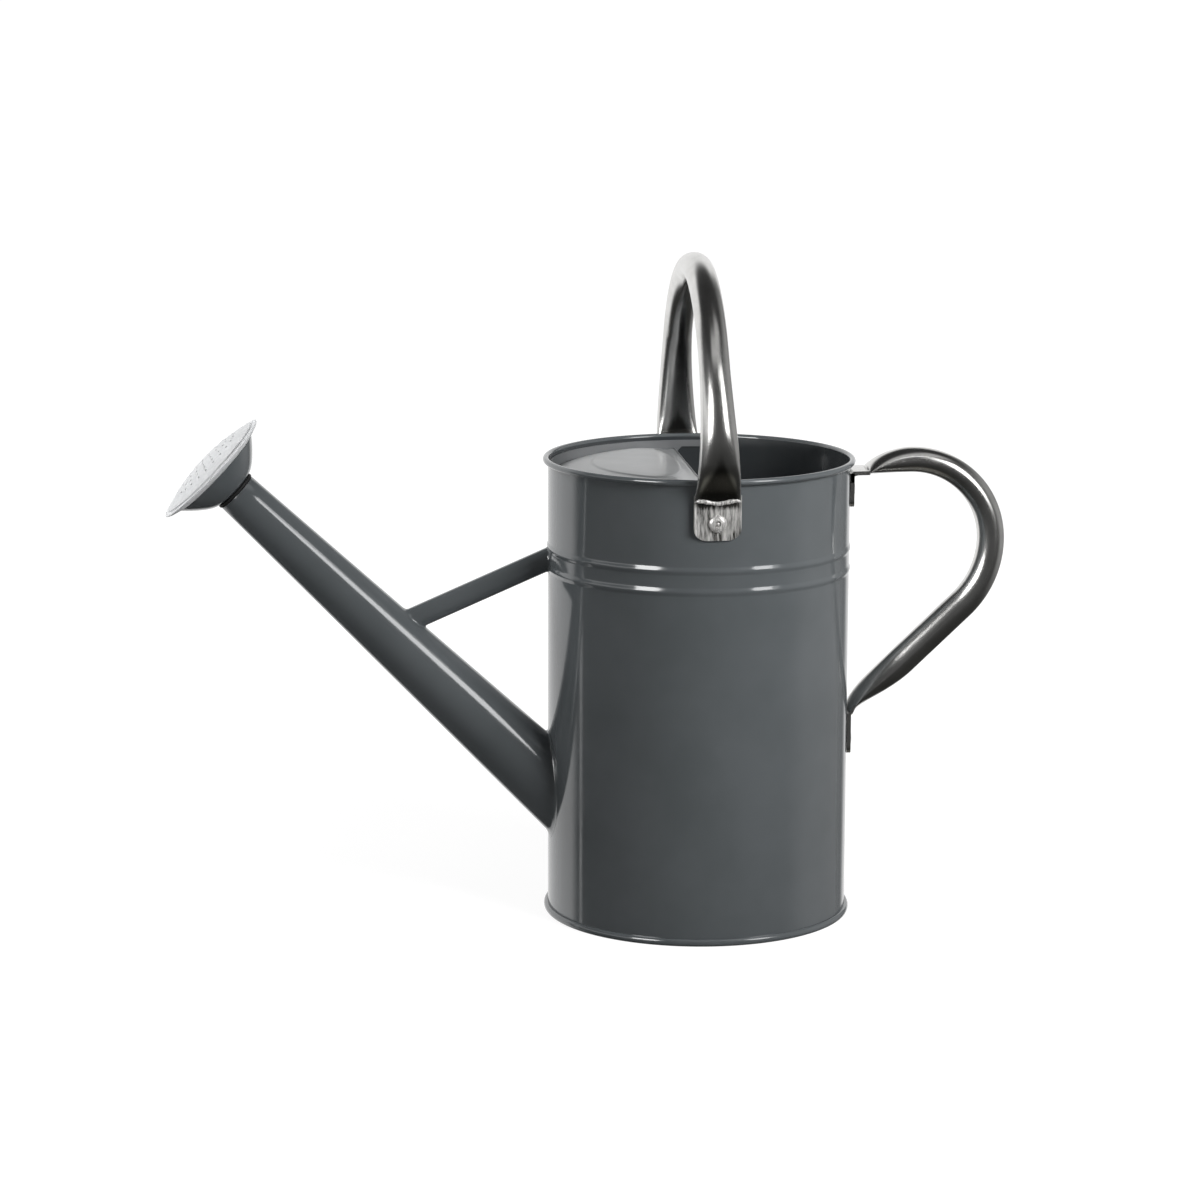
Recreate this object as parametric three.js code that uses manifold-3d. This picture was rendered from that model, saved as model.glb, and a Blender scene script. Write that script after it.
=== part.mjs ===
// Watering can: a painted sheet-steel can with a half lid, a long coned spout with a
// perforated rose, and two handles of stainless tube riveted to the wall.
// Millimetres. +Z is up, the spout points along -X and the rear handle along +X.
import * as THREE from 'three';
import { mergeVertices } from 'three/addons/utils/BufferGeometryUtils.js';
import Module from 'manifold-3d';

const wasm = await Module();
wasm.setup();

// Sheet and clearances
const sheet = 0.6;
const fitGap = 0.3;
const cutOverrun = 5;

// Can body
const canRadius = 80;
const canHeight = 246;
const rimWireRadius = 0.75;
const ribHeight = 0.45;
const ribWidth = 6.4;
const upperRibHeight = 198.3;
const ribPitch = 11;

// Base
const baseRise = 5;
const seamHeight = 3.6;
const seamReach = 1.2;

// Half lid
const lidDepth = 9;
const lidChord = 4;
const lidEarLength = 27;
const lidHemHeight = 2.6;
const domeRise = 6;
const domeRadius = 56;
const domeSetback = 1.5;
const domeSlope = 8;
const domeCrown = 0.9;

// Spout
const spoutRootHeight = 71.2;
const spoutAngle = THREE.MathUtils.degToRad(44.1);
const spoutLength = 228.2;
const spoutRootRadius = 19.3;
const spoutTipRadius = 11.3;

// Brace between the spout and the can
const braceRadius = 6;
const braceWall = 0.9;
const braceHeight = 191.9;
const braceAngle = THREE.MathUtils.degToRad(23.4);

// Stainless tube of both handles
const tubeRadius = 7.5;
const tubeWall = 1;

// Bail over the top
const bailOffset = -1;
const bailArcRadius = 90;
const bailArcHeight = 256;
const bailFlatStart = 302;
const bailLipHeight = 234.4;
const bailLipWave = 1.6;
const bailFootWidth = 24.2;
const bailTabBottom = 214.6;
const bailTabCorner = 6;
const bailRivetHeight = 223.4;

// Rear handle
const handleReach = 34.4;
const handleLoopHeight = 199.2;
const handleLoopRadius = 43.3;
const handleBendRadius = 49.5;
const handleLegAngle = THREE.MathUtils.degToRad(43.5);
const handleLegLength = 44;
const handleTopDepth = 13.4;
const handleSideDepth = 14.6;
const handleLegDepth = 15.8;
const handleFootWidth = 22;
const upperTongueHeight = 237;
const upperTongueLength = 9.6;
const upperTabBottom = 218.6;
const upperRivetHeight = 227.4;
const lowerLipHeight = 104.6;
const lowerLipDepth = 5;
const lowerTabBottom = 84.6;
const lowerRivetHeight = 91.6;
const handleTabCorner = 4;

// Rivets and the washers behind them
const rivetShankRadius = 2;
const rivetHeadRadius = 4.7;
const rivetHeadHeight = 1.9;
const lowerRivetHeadHeight = 1.1;
const washerRadius = 5.5;
const washerThickness = 1;
const rivetTailRadius = 3.4;
const rivetTailHeight = 1.3;

// Rose
const sealThickness = 1.7;
const sealRadius = 11.7;
const neckRadius = 9.6;
const neckWall = 0.8;
const neckLength = 16;
const bowlDepth = 13;
const bowlRadius = 27.3;
const roseRadius = 34.5;
const roseFlare = 2.8;
const faceStepWidth = 3.2;
const faceStepHeight = 0.8;
const faceRise = 4.6;
const roseHoleRadius = 0.75;
const roseHoleRings = 5;
const roseHolePitch = 5.4;

// Facet counts
const roundFacets = 48;
const spoutFacets = 28;
const tubeFacets = 16;
const smallFacets = 10;
const holeFacets = 6;

const paint = { color: 0x4d5355, roughness: 0.28, metalness: 0.1 };
const stainless = { color: 0xb9b8b2, roughness: 0.24, metalness: 1 };
const galvanised = { color: 0xc9cbcb, roughness: 0.45, metalness: 0.8 };
const rubber = { color: 0x141414, roughness: 0.75, metalness: 0 };

const wallInside = canRadius - sheet;
const curlInner = rimWireRadius + fitGap;
const curlOuter = curlInner + sheet;
const curlRadius = canRadius + curlInner;
const curlHeight = canHeight - curlOuter;
const rimReach = curlRadius + curlOuter;
const lidTop = canHeight - lidDepth;
const tabInside = canRadius + fitGap;
const tabOutside = tabInside + tubeWall;
const pressedTube = 2 * tubeWall + fitGap / 2;
const handleTabOutside = tabInside + pressedTube;

// Solids and booleans

function welded(geometry) {
  const bare = geometry.clone();
  for (const name of Object.keys(bare.attributes)) {
    if (name !== 'position') bare.deleteAttribute(name);
  }
  return mergeVertices(bare);
}

function asSolid(geometry) {
  const closed = welded(geometry);
  const solid = new wasm.Manifold(new wasm.Mesh({
    numProp: 3,
    vertProperties: new Float32Array(closed.attributes.position.array),
    triVerts: new Uint32Array(closed.index.array),
  }));
  return solid;
}

function asGeometry(solid) {
  const mesh = solid.getMesh();
  const geometry = new THREE.BufferGeometry();
  geometry.setAttribute('position', new THREE.BufferAttribute(mesh.vertProperties, 3));
  geometry.setIndex(new THREE.BufferAttribute(mesh.triVerts, 1));
  geometry.computeVertexNormals();
  return geometry;
}

function shaped(base, { add = [], cut = [], keep = [] }) {
  let solid = asSolid(base);
  for (const piece of add) solid = solid.add(asSolid(piece));
  for (const piece of keep) solid = solid.intersect(asSolid(piece));
  for (const piece of cut) solid = solid.subtract(asSolid(piece));
  return asGeometry(solid);
}

function signedVolume(geometry) {
  const place = geometry.attributes.position;
  const corner = [new THREE.Vector3(), new THREE.Vector3(), new THREE.Vector3()];
  let volume = 0;
  for (let i = 0; i < geometry.index.count; i += 3) {
    corner.forEach((point, k) => point.fromBufferAttribute(place, geometry.index.getX(i + k)));
    volume += corner[0].dot(corner[1].cross(corner[2]));
  }
  return volume;
}

function facingOut(geometry) {
  const closed = welded(geometry);
  if (signedVolume(closed) < 0) {
    const index = closed.index.array;
    for (let i = 0; i < index.length; i += 3) {
      [index[i], index[i + 1]] = [index[i + 1], index[i]];
    }
  }
  closed.computeVertexNormals();
  return closed;
}

// A profile of [radius, height] pairs turned about the Z axis
function turned(profile, facets = roundFacets) {
  const points = profile.map(([radius, height]) => new THREE.Vector2(radius, height));
  const geometry = new THREE.LatheGeometry(points, facets);
  geometry.rotateX(Math.PI / 2);
  return facingOut(geometry);
}

function turnedLoop(profile, facets = roundFacets) {
  return turned([...profile, profile[0]], facets);
}

// Points of a circular arc in the radius and height plane, angles in radians
function arcPoints(radius, centreRadius, centreHeight, from, to, steps) {
  const points = [];
  for (let i = 0; i <= steps; i += 1) {
    const angle = from + ((to - from) * i) / steps;
    points.push([centreRadius + radius * Math.cos(angle), centreHeight + radius * Math.sin(angle)]);
  }
  return points;
}

// A cylinder along Z from one height to another
function post(radius, low, high, facets = smallFacets) {
  const geometry = new THREE.CylinderGeometry(radius, radius, high - low, facets);
  geometry.rotateX(Math.PI / 2);
  geometry.translate(0, 0, (low + high) / 2);
  return geometry;
}

// A flat ring between two radii and two heights
function ring(inner, outer, low, high, facets = roundFacets) {
  return turnedLoop([[inner, low], [outer, low], [outer, high], [inner, high]], facets);
}

// The skin of a row of rings, each a loop of equal count, closed at both ends.
// With inner rings it is a tube with its wall closed at the two mouths.
function loft(outer, inner) {
  const count = outer[0].length;
  const points = outer.flat();
  if (inner) points.push(...inner.flat());
  const faces = [];
  const quad = (a, b, c, d) => faces.push(a, b, c, a, c, d);
  const last = outer.length - 1;
  const offset = outer.length * count;
  for (let i = 0; i < last; i += 1) {
    for (let j = 0; j < count; j += 1) {
      const k = (j + 1) % count;
      quad(i * count + j, i * count + k, (i + 1) * count + k, (i + 1) * count + j);
      if (inner) {
        const at = (row, column) => offset + row * count + column;
        quad(at(i, k), at(i, j), at(i + 1, j), at(i + 1, k));
      }
    }
  }
  for (const row of [0, last]) {
    if (inner) {
      for (let j = 0; j < count; j += 1) {
        const k = (j + 1) % count;
        const a = row * count + j;
        const b = row * count + k;
        if (row === 0) quad(a, offset + a, offset + b, b);
        else quad(a, b, offset + b, offset + a);
      }
    } else {
      const middle = points.length;
      const centre = outer[row].reduce((sum, point) => sum.add(point), new THREE.Vector3());
      points.push(centre.divideScalar(count));
      for (let j = 0; j < count; j += 1) {
        const k = (j + 1) % count;
        if (row === 0) faces.push(middle, row * count + k, row * count + j);
        else faces.push(middle, row * count + j, row * count + k);
      }
    }
  }
  const geometry = new THREE.BufferGeometry().setFromPoints(points);
  geometry.setIndex(faces);
  return facingOut(geometry);
}

// The same for a surface on a grid of rows, closed round its edge by a second surface
function plateBetween(top, bottom) {
  const rows = top.length;
  const columns = top[0].length;
  const points = [...top.flat(), ...bottom.flat()];
  const faces = [];
  const up = (i, j) => i * columns + j;
  const down = (i, j) => rows * columns + i * columns + j;
  const quad = (a, b, c, d) => faces.push(a, b, c, a, c, d);
  for (let i = 0; i < rows - 1; i += 1) {
    for (let j = 0; j < columns - 1; j += 1) {
      quad(up(i, j), up(i, j + 1), up(i + 1, j + 1), up(i + 1, j));
      quad(down(i, j + 1), down(i, j), down(i + 1, j), down(i + 1, j + 1));
    }
  }
  for (let i = 0; i < rows - 1; i += 1) {
    quad(up(i, 0), up(i + 1, 0), down(i + 1, 0), down(i, 0));
    quad(up(i + 1, columns - 1), up(i, columns - 1), down(i, columns - 1), down(i + 1, columns - 1));
  }
  for (let j = 0; j < columns - 1; j += 1) {
    quad(up(0, j + 1), up(0, j), down(0, j), down(0, j + 1));
    quad(up(rows - 1, j), up(rows - 1, j + 1), down(rows - 1, j + 1), down(rows - 1, j));
  }
  const geometry = new THREE.BufferGeometry().setFromPoints(points);
  geometry.setIndex(faces);
  return facingOut(geometry);
}

// Can wall: outline of its outer face, with the two rolled ribs, pushed out by a clearance

function ribPoints(centre, reach) {
  const steps = 4;
  const points = [];
  for (let i = 0; i <= steps; i += 1) {
    const share = i / steps;
    const bulge = Math.sin(Math.PI * share) ** 2;
    points.push([canRadius + reach + ribHeight * bulge, centre + ribWidth * (share - 0.5)]);
  }
  return points;
}

function wallOutline(reach, from, to) {
  return [
    [canRadius + reach, from],
    ...ribPoints(upperRibHeight - ribPitch, reach),
    ...ribPoints(upperRibHeight, reach),
    [canRadius + reach, to],
  ];
}

// Solid of everything inside the wall's outer face plus a clearance, to cut pieces that meet it
function wallCutter(reach) {
  const low = -cutOverrun;
  const high = canHeight + cutOverrun;
  return turned([[0, low], ...wallOutline(reach, low, high), [0, high]]);
}

// Placement along the spout: its own Z axis starts on the wall and runs to the rose
const spoutPlace = new THREE.Matrix4()
  .makeTranslation(-canRadius, 0, spoutRootHeight)
  .multiply(new THREE.Matrix4().makeRotationY(spoutAngle - Math.PI / 2));

const spoutTaper = (spoutRootRadius - spoutTipRadius) / spoutLength;
const spoutRadiusAt = (along) => spoutRootRadius - spoutTaper * along;

// A cone coaxial with the spout, in the spout's own frame
function spoutCone(reach, from, to) {
  const geometry = new THREE.CylinderGeometry(
    spoutRadiusAt(to) + reach,
    spoutRadiusAt(from) + reach,
    to - from,
    spoutFacets,
  );
  geometry.rotateX(Math.PI / 2);
  geometry.translate(0, 0, (from + to) / 2);
  return geometry;
}

const placed = (geometry, matrix) => geometry.clone().applyMatrix4(matrix);

// Rivet place: its own Z axis points outward from the can's axis at an angle and height
function outwardAt(angle, height, along = 0) {
  return new THREE.Matrix4()
    .makeTranslation(along, 0, height)
    .multiply(new THREE.Matrix4().makeRotationZ(angle))
    .multiply(new THREE.Matrix4().makeRotationY(Math.PI / 2));
}

const nearSide = -Math.PI / 2;
const farSide = Math.PI / 2;
const rivetPlaces = {
  bail_rivet_near: { matrix: outwardAt(nearSide, bailRivetHeight, bailOffset), seat: tabOutside },
  bail_rivet_far: { matrix: outwardAt(farSide, bailRivetHeight, bailOffset), seat: tabOutside },
  handle_rivet_upper: { matrix: outwardAt(0, upperRivetHeight), seat: handleTabOutside },
  handle_rivet_lower: {
    matrix: outwardAt(0, lowerRivetHeight),
    seat: handleTabOutside,
    headHeight: lowerRivetHeadHeight,
  },
};
const rivetHoles = Object.values(rivetPlaces).map(({ matrix }) => placed(
  post(rivetShankRadius + fitGap, canRadius / 2, canRadius + cutOverrun + tubeRadius),
  matrix,
));

// Can body: wall with two ribs, rolled rim at the top and an outward flange at the foot.
// The rim's curl stops just short of the wall, so its hollow is open along a thin slot.
function bodyShell() {
  const flangeLow = sheet + fitGap;
  const slot = canRadius + fitGap - curlRadius;
  const outerCurl = arcPoints(curlOuter, curlRadius, curlHeight, -Math.acos(slot / curlOuter), Math.PI, 8);
  const innerCurl = arcPoints(curlInner, curlRadius, curlHeight, Math.PI, -Math.acos(slot / curlInner), 5);
  const profile = [
    [wallInside, flangeLow],
    [canRadius + seamReach, flangeLow],
    [canRadius + seamReach, flangeLow + sheet],
    ...wallOutline(0, flangeLow + sheet, curlHeight).slice(0, -1),
    ...innerCurl,
    ...outerCurl,
  ];
  const bore = placed(post(spoutRootRadius - sheet, -canRadius / 2, canRadius / 2, spoutFacets), spoutPlace);
  return shaped(turnedLoop(profile), { cut: [bore, ...rivetHoles] });
}

function rimWire() {
  const circle = arcPoints(rimWireRadius, curlRadius, curlHeight, 0, 2 * Math.PI, holeFacets);
  return turned(circle);
}

// Base: a raised disc whose edge is folded round the foot flange of the wall
function basePlate() {
  const skirt = wallInside - fitGap;
  const lipInside = canRadius + seamReach + fitGap;
  const lipOutside = lipInside + sheet;
  return turned([
    [0, baseRise - sheet],
    [skirt - 2 * sheet, baseRise - sheet],
    [skirt - sheet, baseRise - 2 * sheet],
    [skirt - sheet, 0],
    [lipOutside - sheet, 0],
    [lipOutside, sheet],
    [lipOutside, seamHeight - sheet],
    [lipOutside - sheet, seamHeight],
    [canRadius + fitGap, seamHeight],
    [canRadius + fitGap, seamHeight - sheet],
    [lipInside, seamHeight - sheet],
    [lipInside, sheet],
    [skirt, sheet],
    [skirt, baseRise - sheet],
    [skirt - sheet, baseRise],
    [0, baseRise],
  ]);
}

// Half lid: a pressed half disc that slopes up from the wall to a D-shaped crown, with a skirt
// that stands up inside the rim and runs on past the straight edge as two ears, and a hem
const lidSkirtOutside = wallInside - fitGap;
const lidEdge = lidSkirtOutside * Math.cos(Math.PI / roundFacets) - sheet / 4;

function lidHeight(x, y) {
  const radius = Math.hypot(x, y);
  const upSlope = THREE.MathUtils.clamp((lidEdge - radius) / (lidEdge - domeRadius), 0, 1);
  const fromChord = THREE.MathUtils.smoothstep(-x, lidChord + domeSetback, lidChord + domeSetback + domeSlope);
  const crown = domeCrown * Math.max(0, 1 - (radius / domeRadius) ** 2);
  return (domeRise * upSlope + crown) * fromChord;
}

// Places across the lid at one distance from its middle: straight edge, crown's straight side,
// crown's round side and wall, with even steps between
function lidColumns(y) {
  const wall = Math.sqrt(Math.max(0, lidEdge ** 2 - y ** 2));
  const side = Math.min(lidChord + domeSetback + domeSlope, THREE.MathUtils.lerp(lidChord, wall, 0.4));
  const round = Math.max(Math.sqrt(Math.max(0, domeRadius ** 2 - y ** 2)), THREE.MathUtils.lerp(side, wall, 0.4));
  const marks = [[lidChord, 0], [side, 3], [round, 3], [wall, 2]];
  const columns = [-lidChord];
  marks.slice(1).forEach(([mark, steps], i) => {
    for (let j = 1; j <= steps; j += 1) {
      columns.push(-THREE.MathUtils.lerp(marks[i][0], mark, j / steps));
    }
  });
  return columns;
}

function topCover() {
  const rows = 26;
  const halfAngle = Math.acos(-(lidChord + sheet) / lidEdge);
  const top = [];
  const bottom = [];
  for (let i = 0; i <= rows; i += 1) {
    const y = lidEdge * Math.sin(halfAngle + (2 * (Math.PI - halfAngle) * i) / rows);
    const row = lidColumns(y).map((x) => new THREE.Vector3(x, y, lidTop + lidHeight(x, y)));
    top.push(row);
    bottom.push(row.map((point) => point.clone().setZ(point.z - sheet)));
  }
  const high = curlHeight - curlOuter;
  const wide = 2 * canRadius;
  const half = new THREE.BoxGeometry(wide, wide, 2 * lidDepth);
  half.translate(lidEarLength - lidChord - wide / 2, 0, lidTop);
  const skirt = ring(lidSkirtOutside - sheet, lidSkirtOutside, lidTop - sheet, high);
  const hem = new THREE.BoxGeometry(2 * sheet, 2 * top[0][0].y - 2 * sheet, lidHemHeight);
  hem.translate(-lidChord - sheet, 0, lidTop - lidHemHeight / 2);
  return shaped(plateBetween(top, bottom), { add: [shaped(skirt, { keep: [half] }), hem] });
}

// Spout: a hollow cone, cut to sit on the wall
function spoutTube() {
  const cone = spoutCone(0, -2 * spoutRootRadius, spoutLength);
  const bore = spoutCone(-sheet, -2 * spoutRootRadius - cutOverrun, spoutLength + cutOverrun);
  return shaped(placed(cone, spoutPlace), { cut: [placed(bore, spoutPlace), wallCutter(fitGap)] });
}

// Brace: a straight tube, cut to sit on the wall and on the spout
function braceTube() {
  const reach = canRadius;
  const place = new THREE.Matrix4()
    .makeTranslation(-canRadius, 0, braceHeight)
    .multiply(new THREE.Matrix4().makeRotationY(-braceAngle - Math.PI / 2));
  const full = placed(post(braceRadius, -reach / 4, reach, tubeFacets), place);
  const bore = placed(post(braceRadius - braceWall, -reach / 2, reach + cutOverrun, tubeFacets), place);
  const spout = placed(spoutCone(fitGap, 0, spoutLength), spoutPlace);
  const below = placed(post(spoutRootRadius, 0, spoutLength, spoutFacets), new THREE.Matrix4()
    .makeTranslation(-spoutRootRadius, 0, -spoutRootRadius).multiply(spoutPlace));
  return shaped(full, { cut: [bore, wallCutter(fitGap), spout, below] });
}

// Section of a handle tube at a station of its path: half its width across, its reach on the
// outer and inner side, the share by which its outer side is dented along the middle, the share
// by which it bends round the wall, and the height of the waves in its cut lip
function tubeRing(station, { wide, front, rear, dent = 0, wrap = 0, wave = 0 }) {
  const points = [];
  for (let i = 0; i < tubeFacets; i += 1) {
    const angle = (2 * Math.PI * i) / tubeFacets;
    const across = Math.cos(angle);
    const rise = Math.sin(angle);
    const pressed = dent * (1 - across * across) ** 3;
    const depth = rise > 0 ? (front * rise) - (front + rear - 2 * tubeWall - fitGap) * pressed : rear * rise;
    const bend = wrap * ((wide * across) ** 2) / (2 * canRadius);
    const along = rise > 0 ? wave * Math.abs(Math.sin(2 * angle)) : 0;
    points.push({ across: wide * across, depth: depth - bend, along, station });
  }
  return points;
}

const inPlace = ({ across, depth, along, station }) => station.centre.clone()
  .addScaledVector(station.side, across)
  .addScaledVector(station.out, depth)
  .addScaledVector(station.up, along);

// The same ring moved inward by the tube's wall
function insideRing(outline) {
  const count = outline.length;
  return outline.map((point, i) => {
    const before = outline[(i + count - 1) % count];
    const after = outline[(i + 1) % count];
    const along = new THREE.Vector2(after.across - before.across, after.depth - before.depth).normalize();
    return {
      ...point,
      across: point.across - tubeWall * along.y,
      depth: point.depth + tubeWall * along.x,
    };
  });
}

function bentTube(outlines) {
  const outer = outlines.map((outline) => outline.map(inPlace));
  const inner = outlines.map((outline) => insideRing(outline).map(inPlace));
  return loft(outer, inner);
}

// A tab that lies round the wall: a plate outline seen from outside, kept where it is wall
function wallTab(width, low, high, corner, outside) {
  const half = width / 2;
  const shape = new THREE.Shape();
  shape.moveTo(-half, high);
  shape.lineTo(-half, low + corner);
  shape.quadraticCurveTo(-half, low, -half + corner, low);
  shape.lineTo(half - corner, low);
  shape.quadraticCurveTo(half, low, half, low + corner);
  shape.lineTo(half, high);
  const block = new THREE.ExtrudeGeometry(shape, { depth: 2 * canRadius, bevelEnabled: false, curveSegments: 5 });
  block.rotateX(Math.PI / 2);
  const band = ring(tabInside, outside, low - cutOverrun, high + cutOverrun);
  return shaped(facingOut(block), { keep: [band] });
}

// Bail: a half circle of tube whose feet are pressed flat, cut at a lip and carried on as tabs
function flattening(height) {
  const share = THREE.MathUtils.clamp((bailFlatStart - height) / (bailFlatStart - bailLipHeight), 0, 1);
  return share ** 1.5;
}

function bailSection(height) {
  const flat = flattening(height);
  const thin = tubeWall + fitGap;
  return {
    wide: THREE.MathUtils.lerp(tubeRadius, bailFootWidth / 2, flat),
    front: THREE.MathUtils.lerp(tubeRadius, 3.4 * tubeWall, flat),
    rear: THREE.MathUtils.lerp(tubeRadius, thin, flat),
    dent: flat,
    wrap: flat,
    wave: height === bailLipHeight ? bailLipWave : 0,
  };
}

function bailLegStations(side) {
  const legShares = [0.25, 0.48, 0.62, 0.8, 0.93, 1];
  const tuckShares = [0.3, 0.52, 0.62, 0.84, 0.97, 1];
  const footDepth = tabInside + tubeWall + fitGap;
  return legShares.map((share, i) => {
    const height = THREE.MathUtils.lerp(bailArcHeight, bailLipHeight, share);
    const reach = THREE.MathUtils.lerp(bailArcRadius, footDepth, tuckShares[i]);
    return {
      centre: new THREE.Vector3(0, side * reach, height),
      side: new THREE.Vector3(-side, 0, 0),
      out: new THREE.Vector3(0, side, 0),
      up: new THREE.Vector3(0, 0, 1),
      height,
    };
  });
}

function bailHandle() {
  const arcSteps = 18;
  const arc = [];
  for (let i = 0; i <= arcSteps; i += 1) {
    const angle = Math.PI - (Math.PI * i) / arcSteps;
    const out = new THREE.Vector3(0, Math.cos(angle), Math.sin(angle));
    const centre = new THREE.Vector3(0, 0, bailArcHeight).addScaledVector(out, bailArcRadius);
    arc.push({
      centre,
      side: new THREE.Vector3(1, 0, 0),
      out,
      up: new THREE.Vector3(),
      height: centre.z,
    });
  }
  const near = bailLegStations(-1).reverse();
  const far = bailLegStations(1).map((station) => ({ ...station, side: new THREE.Vector3(1, 0, 0) }));
  const stations = [...near, ...arc, ...far];
  const outlines = stations.map((station) => tubeRing(station, bailSection(station.height)));
  const tube = bentTube(outlines);
  const tab = wallTab(bailFootWidth, bailTabBottom, bailLipHeight + tubeWall, bailTabCorner, tabOutside);
  const farTab = tab.clone().rotateZ(Math.PI);
  const bail = shaped(tube, { add: [tab, farTab] });
  bail.translate(bailOffset, 0, 0);
  return shaped(bail, { cut: rivetHoles });
}

// Rear handle: a loop of tube. Its upper end is pressed flat, stands off as a tongue and turns
// down to the wall; its lower end is pressed on one side, cut at a lip and carried on as a tab.
function handlePath() {
  const centre = new THREE.Vector2(canRadius + handleReach, handleLoopHeight);
  const top = new THREE.Vector2(centre.x, centre.y + handleLoopRadius);
  const bendCentre = new THREE.Vector2(centre.x + handleLoopRadius - handleBendRadius, centre.y);
  const turn = handleLegAngle - Math.PI / 2;
  const legStart = bendCentre.clone().add(new THREE.Vector2(Math.cos(turn), Math.sin(turn))
    .multiplyScalar(handleBendRadius));
  const legWay = new THREE.Vector2(-Math.cos(handleLegAngle), -Math.sin(handleLegAngle));
  const legEnd = legStart.clone().addScaledVector(legWay, handleLegLength);
  const upperLip = new THREE.Vector2(canRadius + upperTongueLength, upperTongueHeight);
  const lowerLip = new THREE.Vector2(tabOutside + lowerLipDepth / 2, lowerLipHeight);
  const path = new THREE.CurvePath();
  path.add(new THREE.CubicBezierCurve(
    upperLip,
    upperLip.clone().add(new THREE.Vector2(tubeRadius, tubeRadius / 2)),
    top.clone().add(new THREE.Vector2(-tubeRadius, 0)),
    top,
  ));
  path.add(new THREE.ArcCurve(centre.x, centre.y, handleLoopRadius, Math.PI / 2, 0, true));
  path.add(new THREE.ArcCurve(bendCentre.x, bendCentre.y, handleBendRadius, 0, turn, true));
  path.add(new THREE.LineCurve(legStart, legEnd));
  path.add(new THREE.CubicBezierCurve(
    legEnd,
    legEnd.clone().addScaledVector(legWay, 2 * tubeRadius),
    lowerLip.clone().add(new THREE.Vector2(tubeRadius, 1.3 * tubeRadius)),
    lowerLip,
  ));
  return path;
}

function handleSection(stretch, share) {
  const ease = Math.sin((Math.PI / 2) * share);
  const [from, to, mix] = [
    [pressedTube, handleTopDepth, ease ** 0.6],
    [handleTopDepth, handleSideDepth, share],
    [handleSideDepth, handleLegDepth, share],
    [handleLegDepth, handleLegDepth, share],
    [handleLegDepth, lowerLipDepth, share ** 1.6],
  ][stretch];
  const depth = THREE.MathUtils.lerp(from, to, mix) / 2;
  return { wide: Math.sqrt(2 * tubeRadius ** 2 - depth ** 2), front: depth, rear: depth };
}

function rearHandle() {
  const path = handlePath();
  const stepCounts = [5, 8, 4, 1, 6];
  const stations = [];
  path.curves.forEach((curve, stretch) => {
    const steps = stepCounts[stretch];
    for (let i = stretch === 0 ? 0 : 1; i <= steps; i += 1) {
      const point = curve.getPoint(i / steps);
      const way = curve.getTangent(i / steps);
      stations.push({
        centre: new THREE.Vector3(point.x, 0, point.y),
        side: new THREE.Vector3(0, -1, 0),
        out: new THREE.Vector3(-way.y, 0, way.x),
        up: new THREE.Vector3(),
        section: handleSection(stretch, i / steps),
      });
    }
  });
  const tube = bentTube(stations.map((station) => tubeRing(station, station.section)));
  const tab = (low, high) => placed(
    wallTab(handleFootWidth, low, high, handleTabCorner, handleTabOutside),
    new THREE.Matrix4().makeRotationZ(Math.PI / 2),
  );
  const upperTab = tab(upperTabBottom, upperTongueHeight + pressedTube / 2);
  const lowerTab = tab(lowerTabBottom, lowerLipHeight + lowerLipDepth);
  const tongue = new THREE.BoxGeometry(upperTongueLength, handleFootWidth, pressedTube);
  tongue.translate(canRadius + upperTongueLength / 2 + tubeWall, 0, upperTongueHeight);
  return shaped(tube, { add: [upperTab, tongue, lowerTab], cut: [wallCutter(fitGap), ...rivetHoles] });
}

// Rivet: domed head outside, shank through tab and wall, formed tail against the washer
function rivet(seat, headHeight = rivetHeadHeight) {
  const headSeat = seat + fitGap;
  const washerSeat = wallInside - fitGap - (washerRadius ** 2) / (2 * canRadius);
  const tailSeat = washerSeat - washerThickness - fitGap;
  const dome = (radius, height, seat, way) => {
    const steps = 3;
    const points = [];
    for (let i = 0; i <= steps; i += 1) {
      const angle = ((Math.PI / 2) * i) / steps;
      points.push([radius * Math.cos(angle), seat + way * height * Math.sin(angle)]);
    }
    return points;
  };
  const profile = [
    ...dome(rivetTailRadius, rivetTailHeight, tailSeat, -1).reverse(),
    [rivetShankRadius, tailSeat],
    [rivetShankRadius, headSeat],
    ...dome(rivetHeadRadius, headHeight, headSeat, 1),
  ];
  profile[0][0] = 0;
  profile[profile.length - 1][0] = 0;
  return turned(profile, smallFacets);
}

function washer() {
  const outside = wallInside - fitGap - (washerRadius ** 2) / (2 * canRadius);
  return ring(rivetShankRadius + fitGap, washerRadius, outside - washerThickness, outside, smallFacets);
}

// Rose, all in the spout's own frame, measured from the spout's tip
const sealSeat = spoutLength + fitGap;
const bowlSeat = sealSeat + sealThickness + fitGap;
const bowlMouth = bowlSeat + bowlDepth;

function roseSeal() {
  const inner = neckRadius + fitGap;
  const bevel = sealThickness / 4;
  return turnedLoop([
    [inner, sealSeat],
    [sealRadius - bevel, sealSeat],
    [sealRadius, sealSeat + bevel],
    [sealRadius, sealSeat + sealThickness - bevel],
    [sealRadius - bevel, sealSeat + sealThickness],
    [inner, sealSeat + sealThickness],
  ], spoutFacets);
}

function roseNeck() {
  const flange = neckRadius + neckWall;
  return turnedLoop([
    [neckRadius - neckWall, bowlSeat - neckLength],
    [neckRadius, bowlSeat - neckLength],
    [neckRadius, bowlSeat + sheet + fitGap],
    [flange, bowlSeat + sheet + fitGap],
    [flange, bowlSeat + 2 * sheet + fitGap],
    [neckRadius - neckWall, bowlSeat + 2 * sheet + fitGap],
  ], spoutFacets);
}

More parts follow.
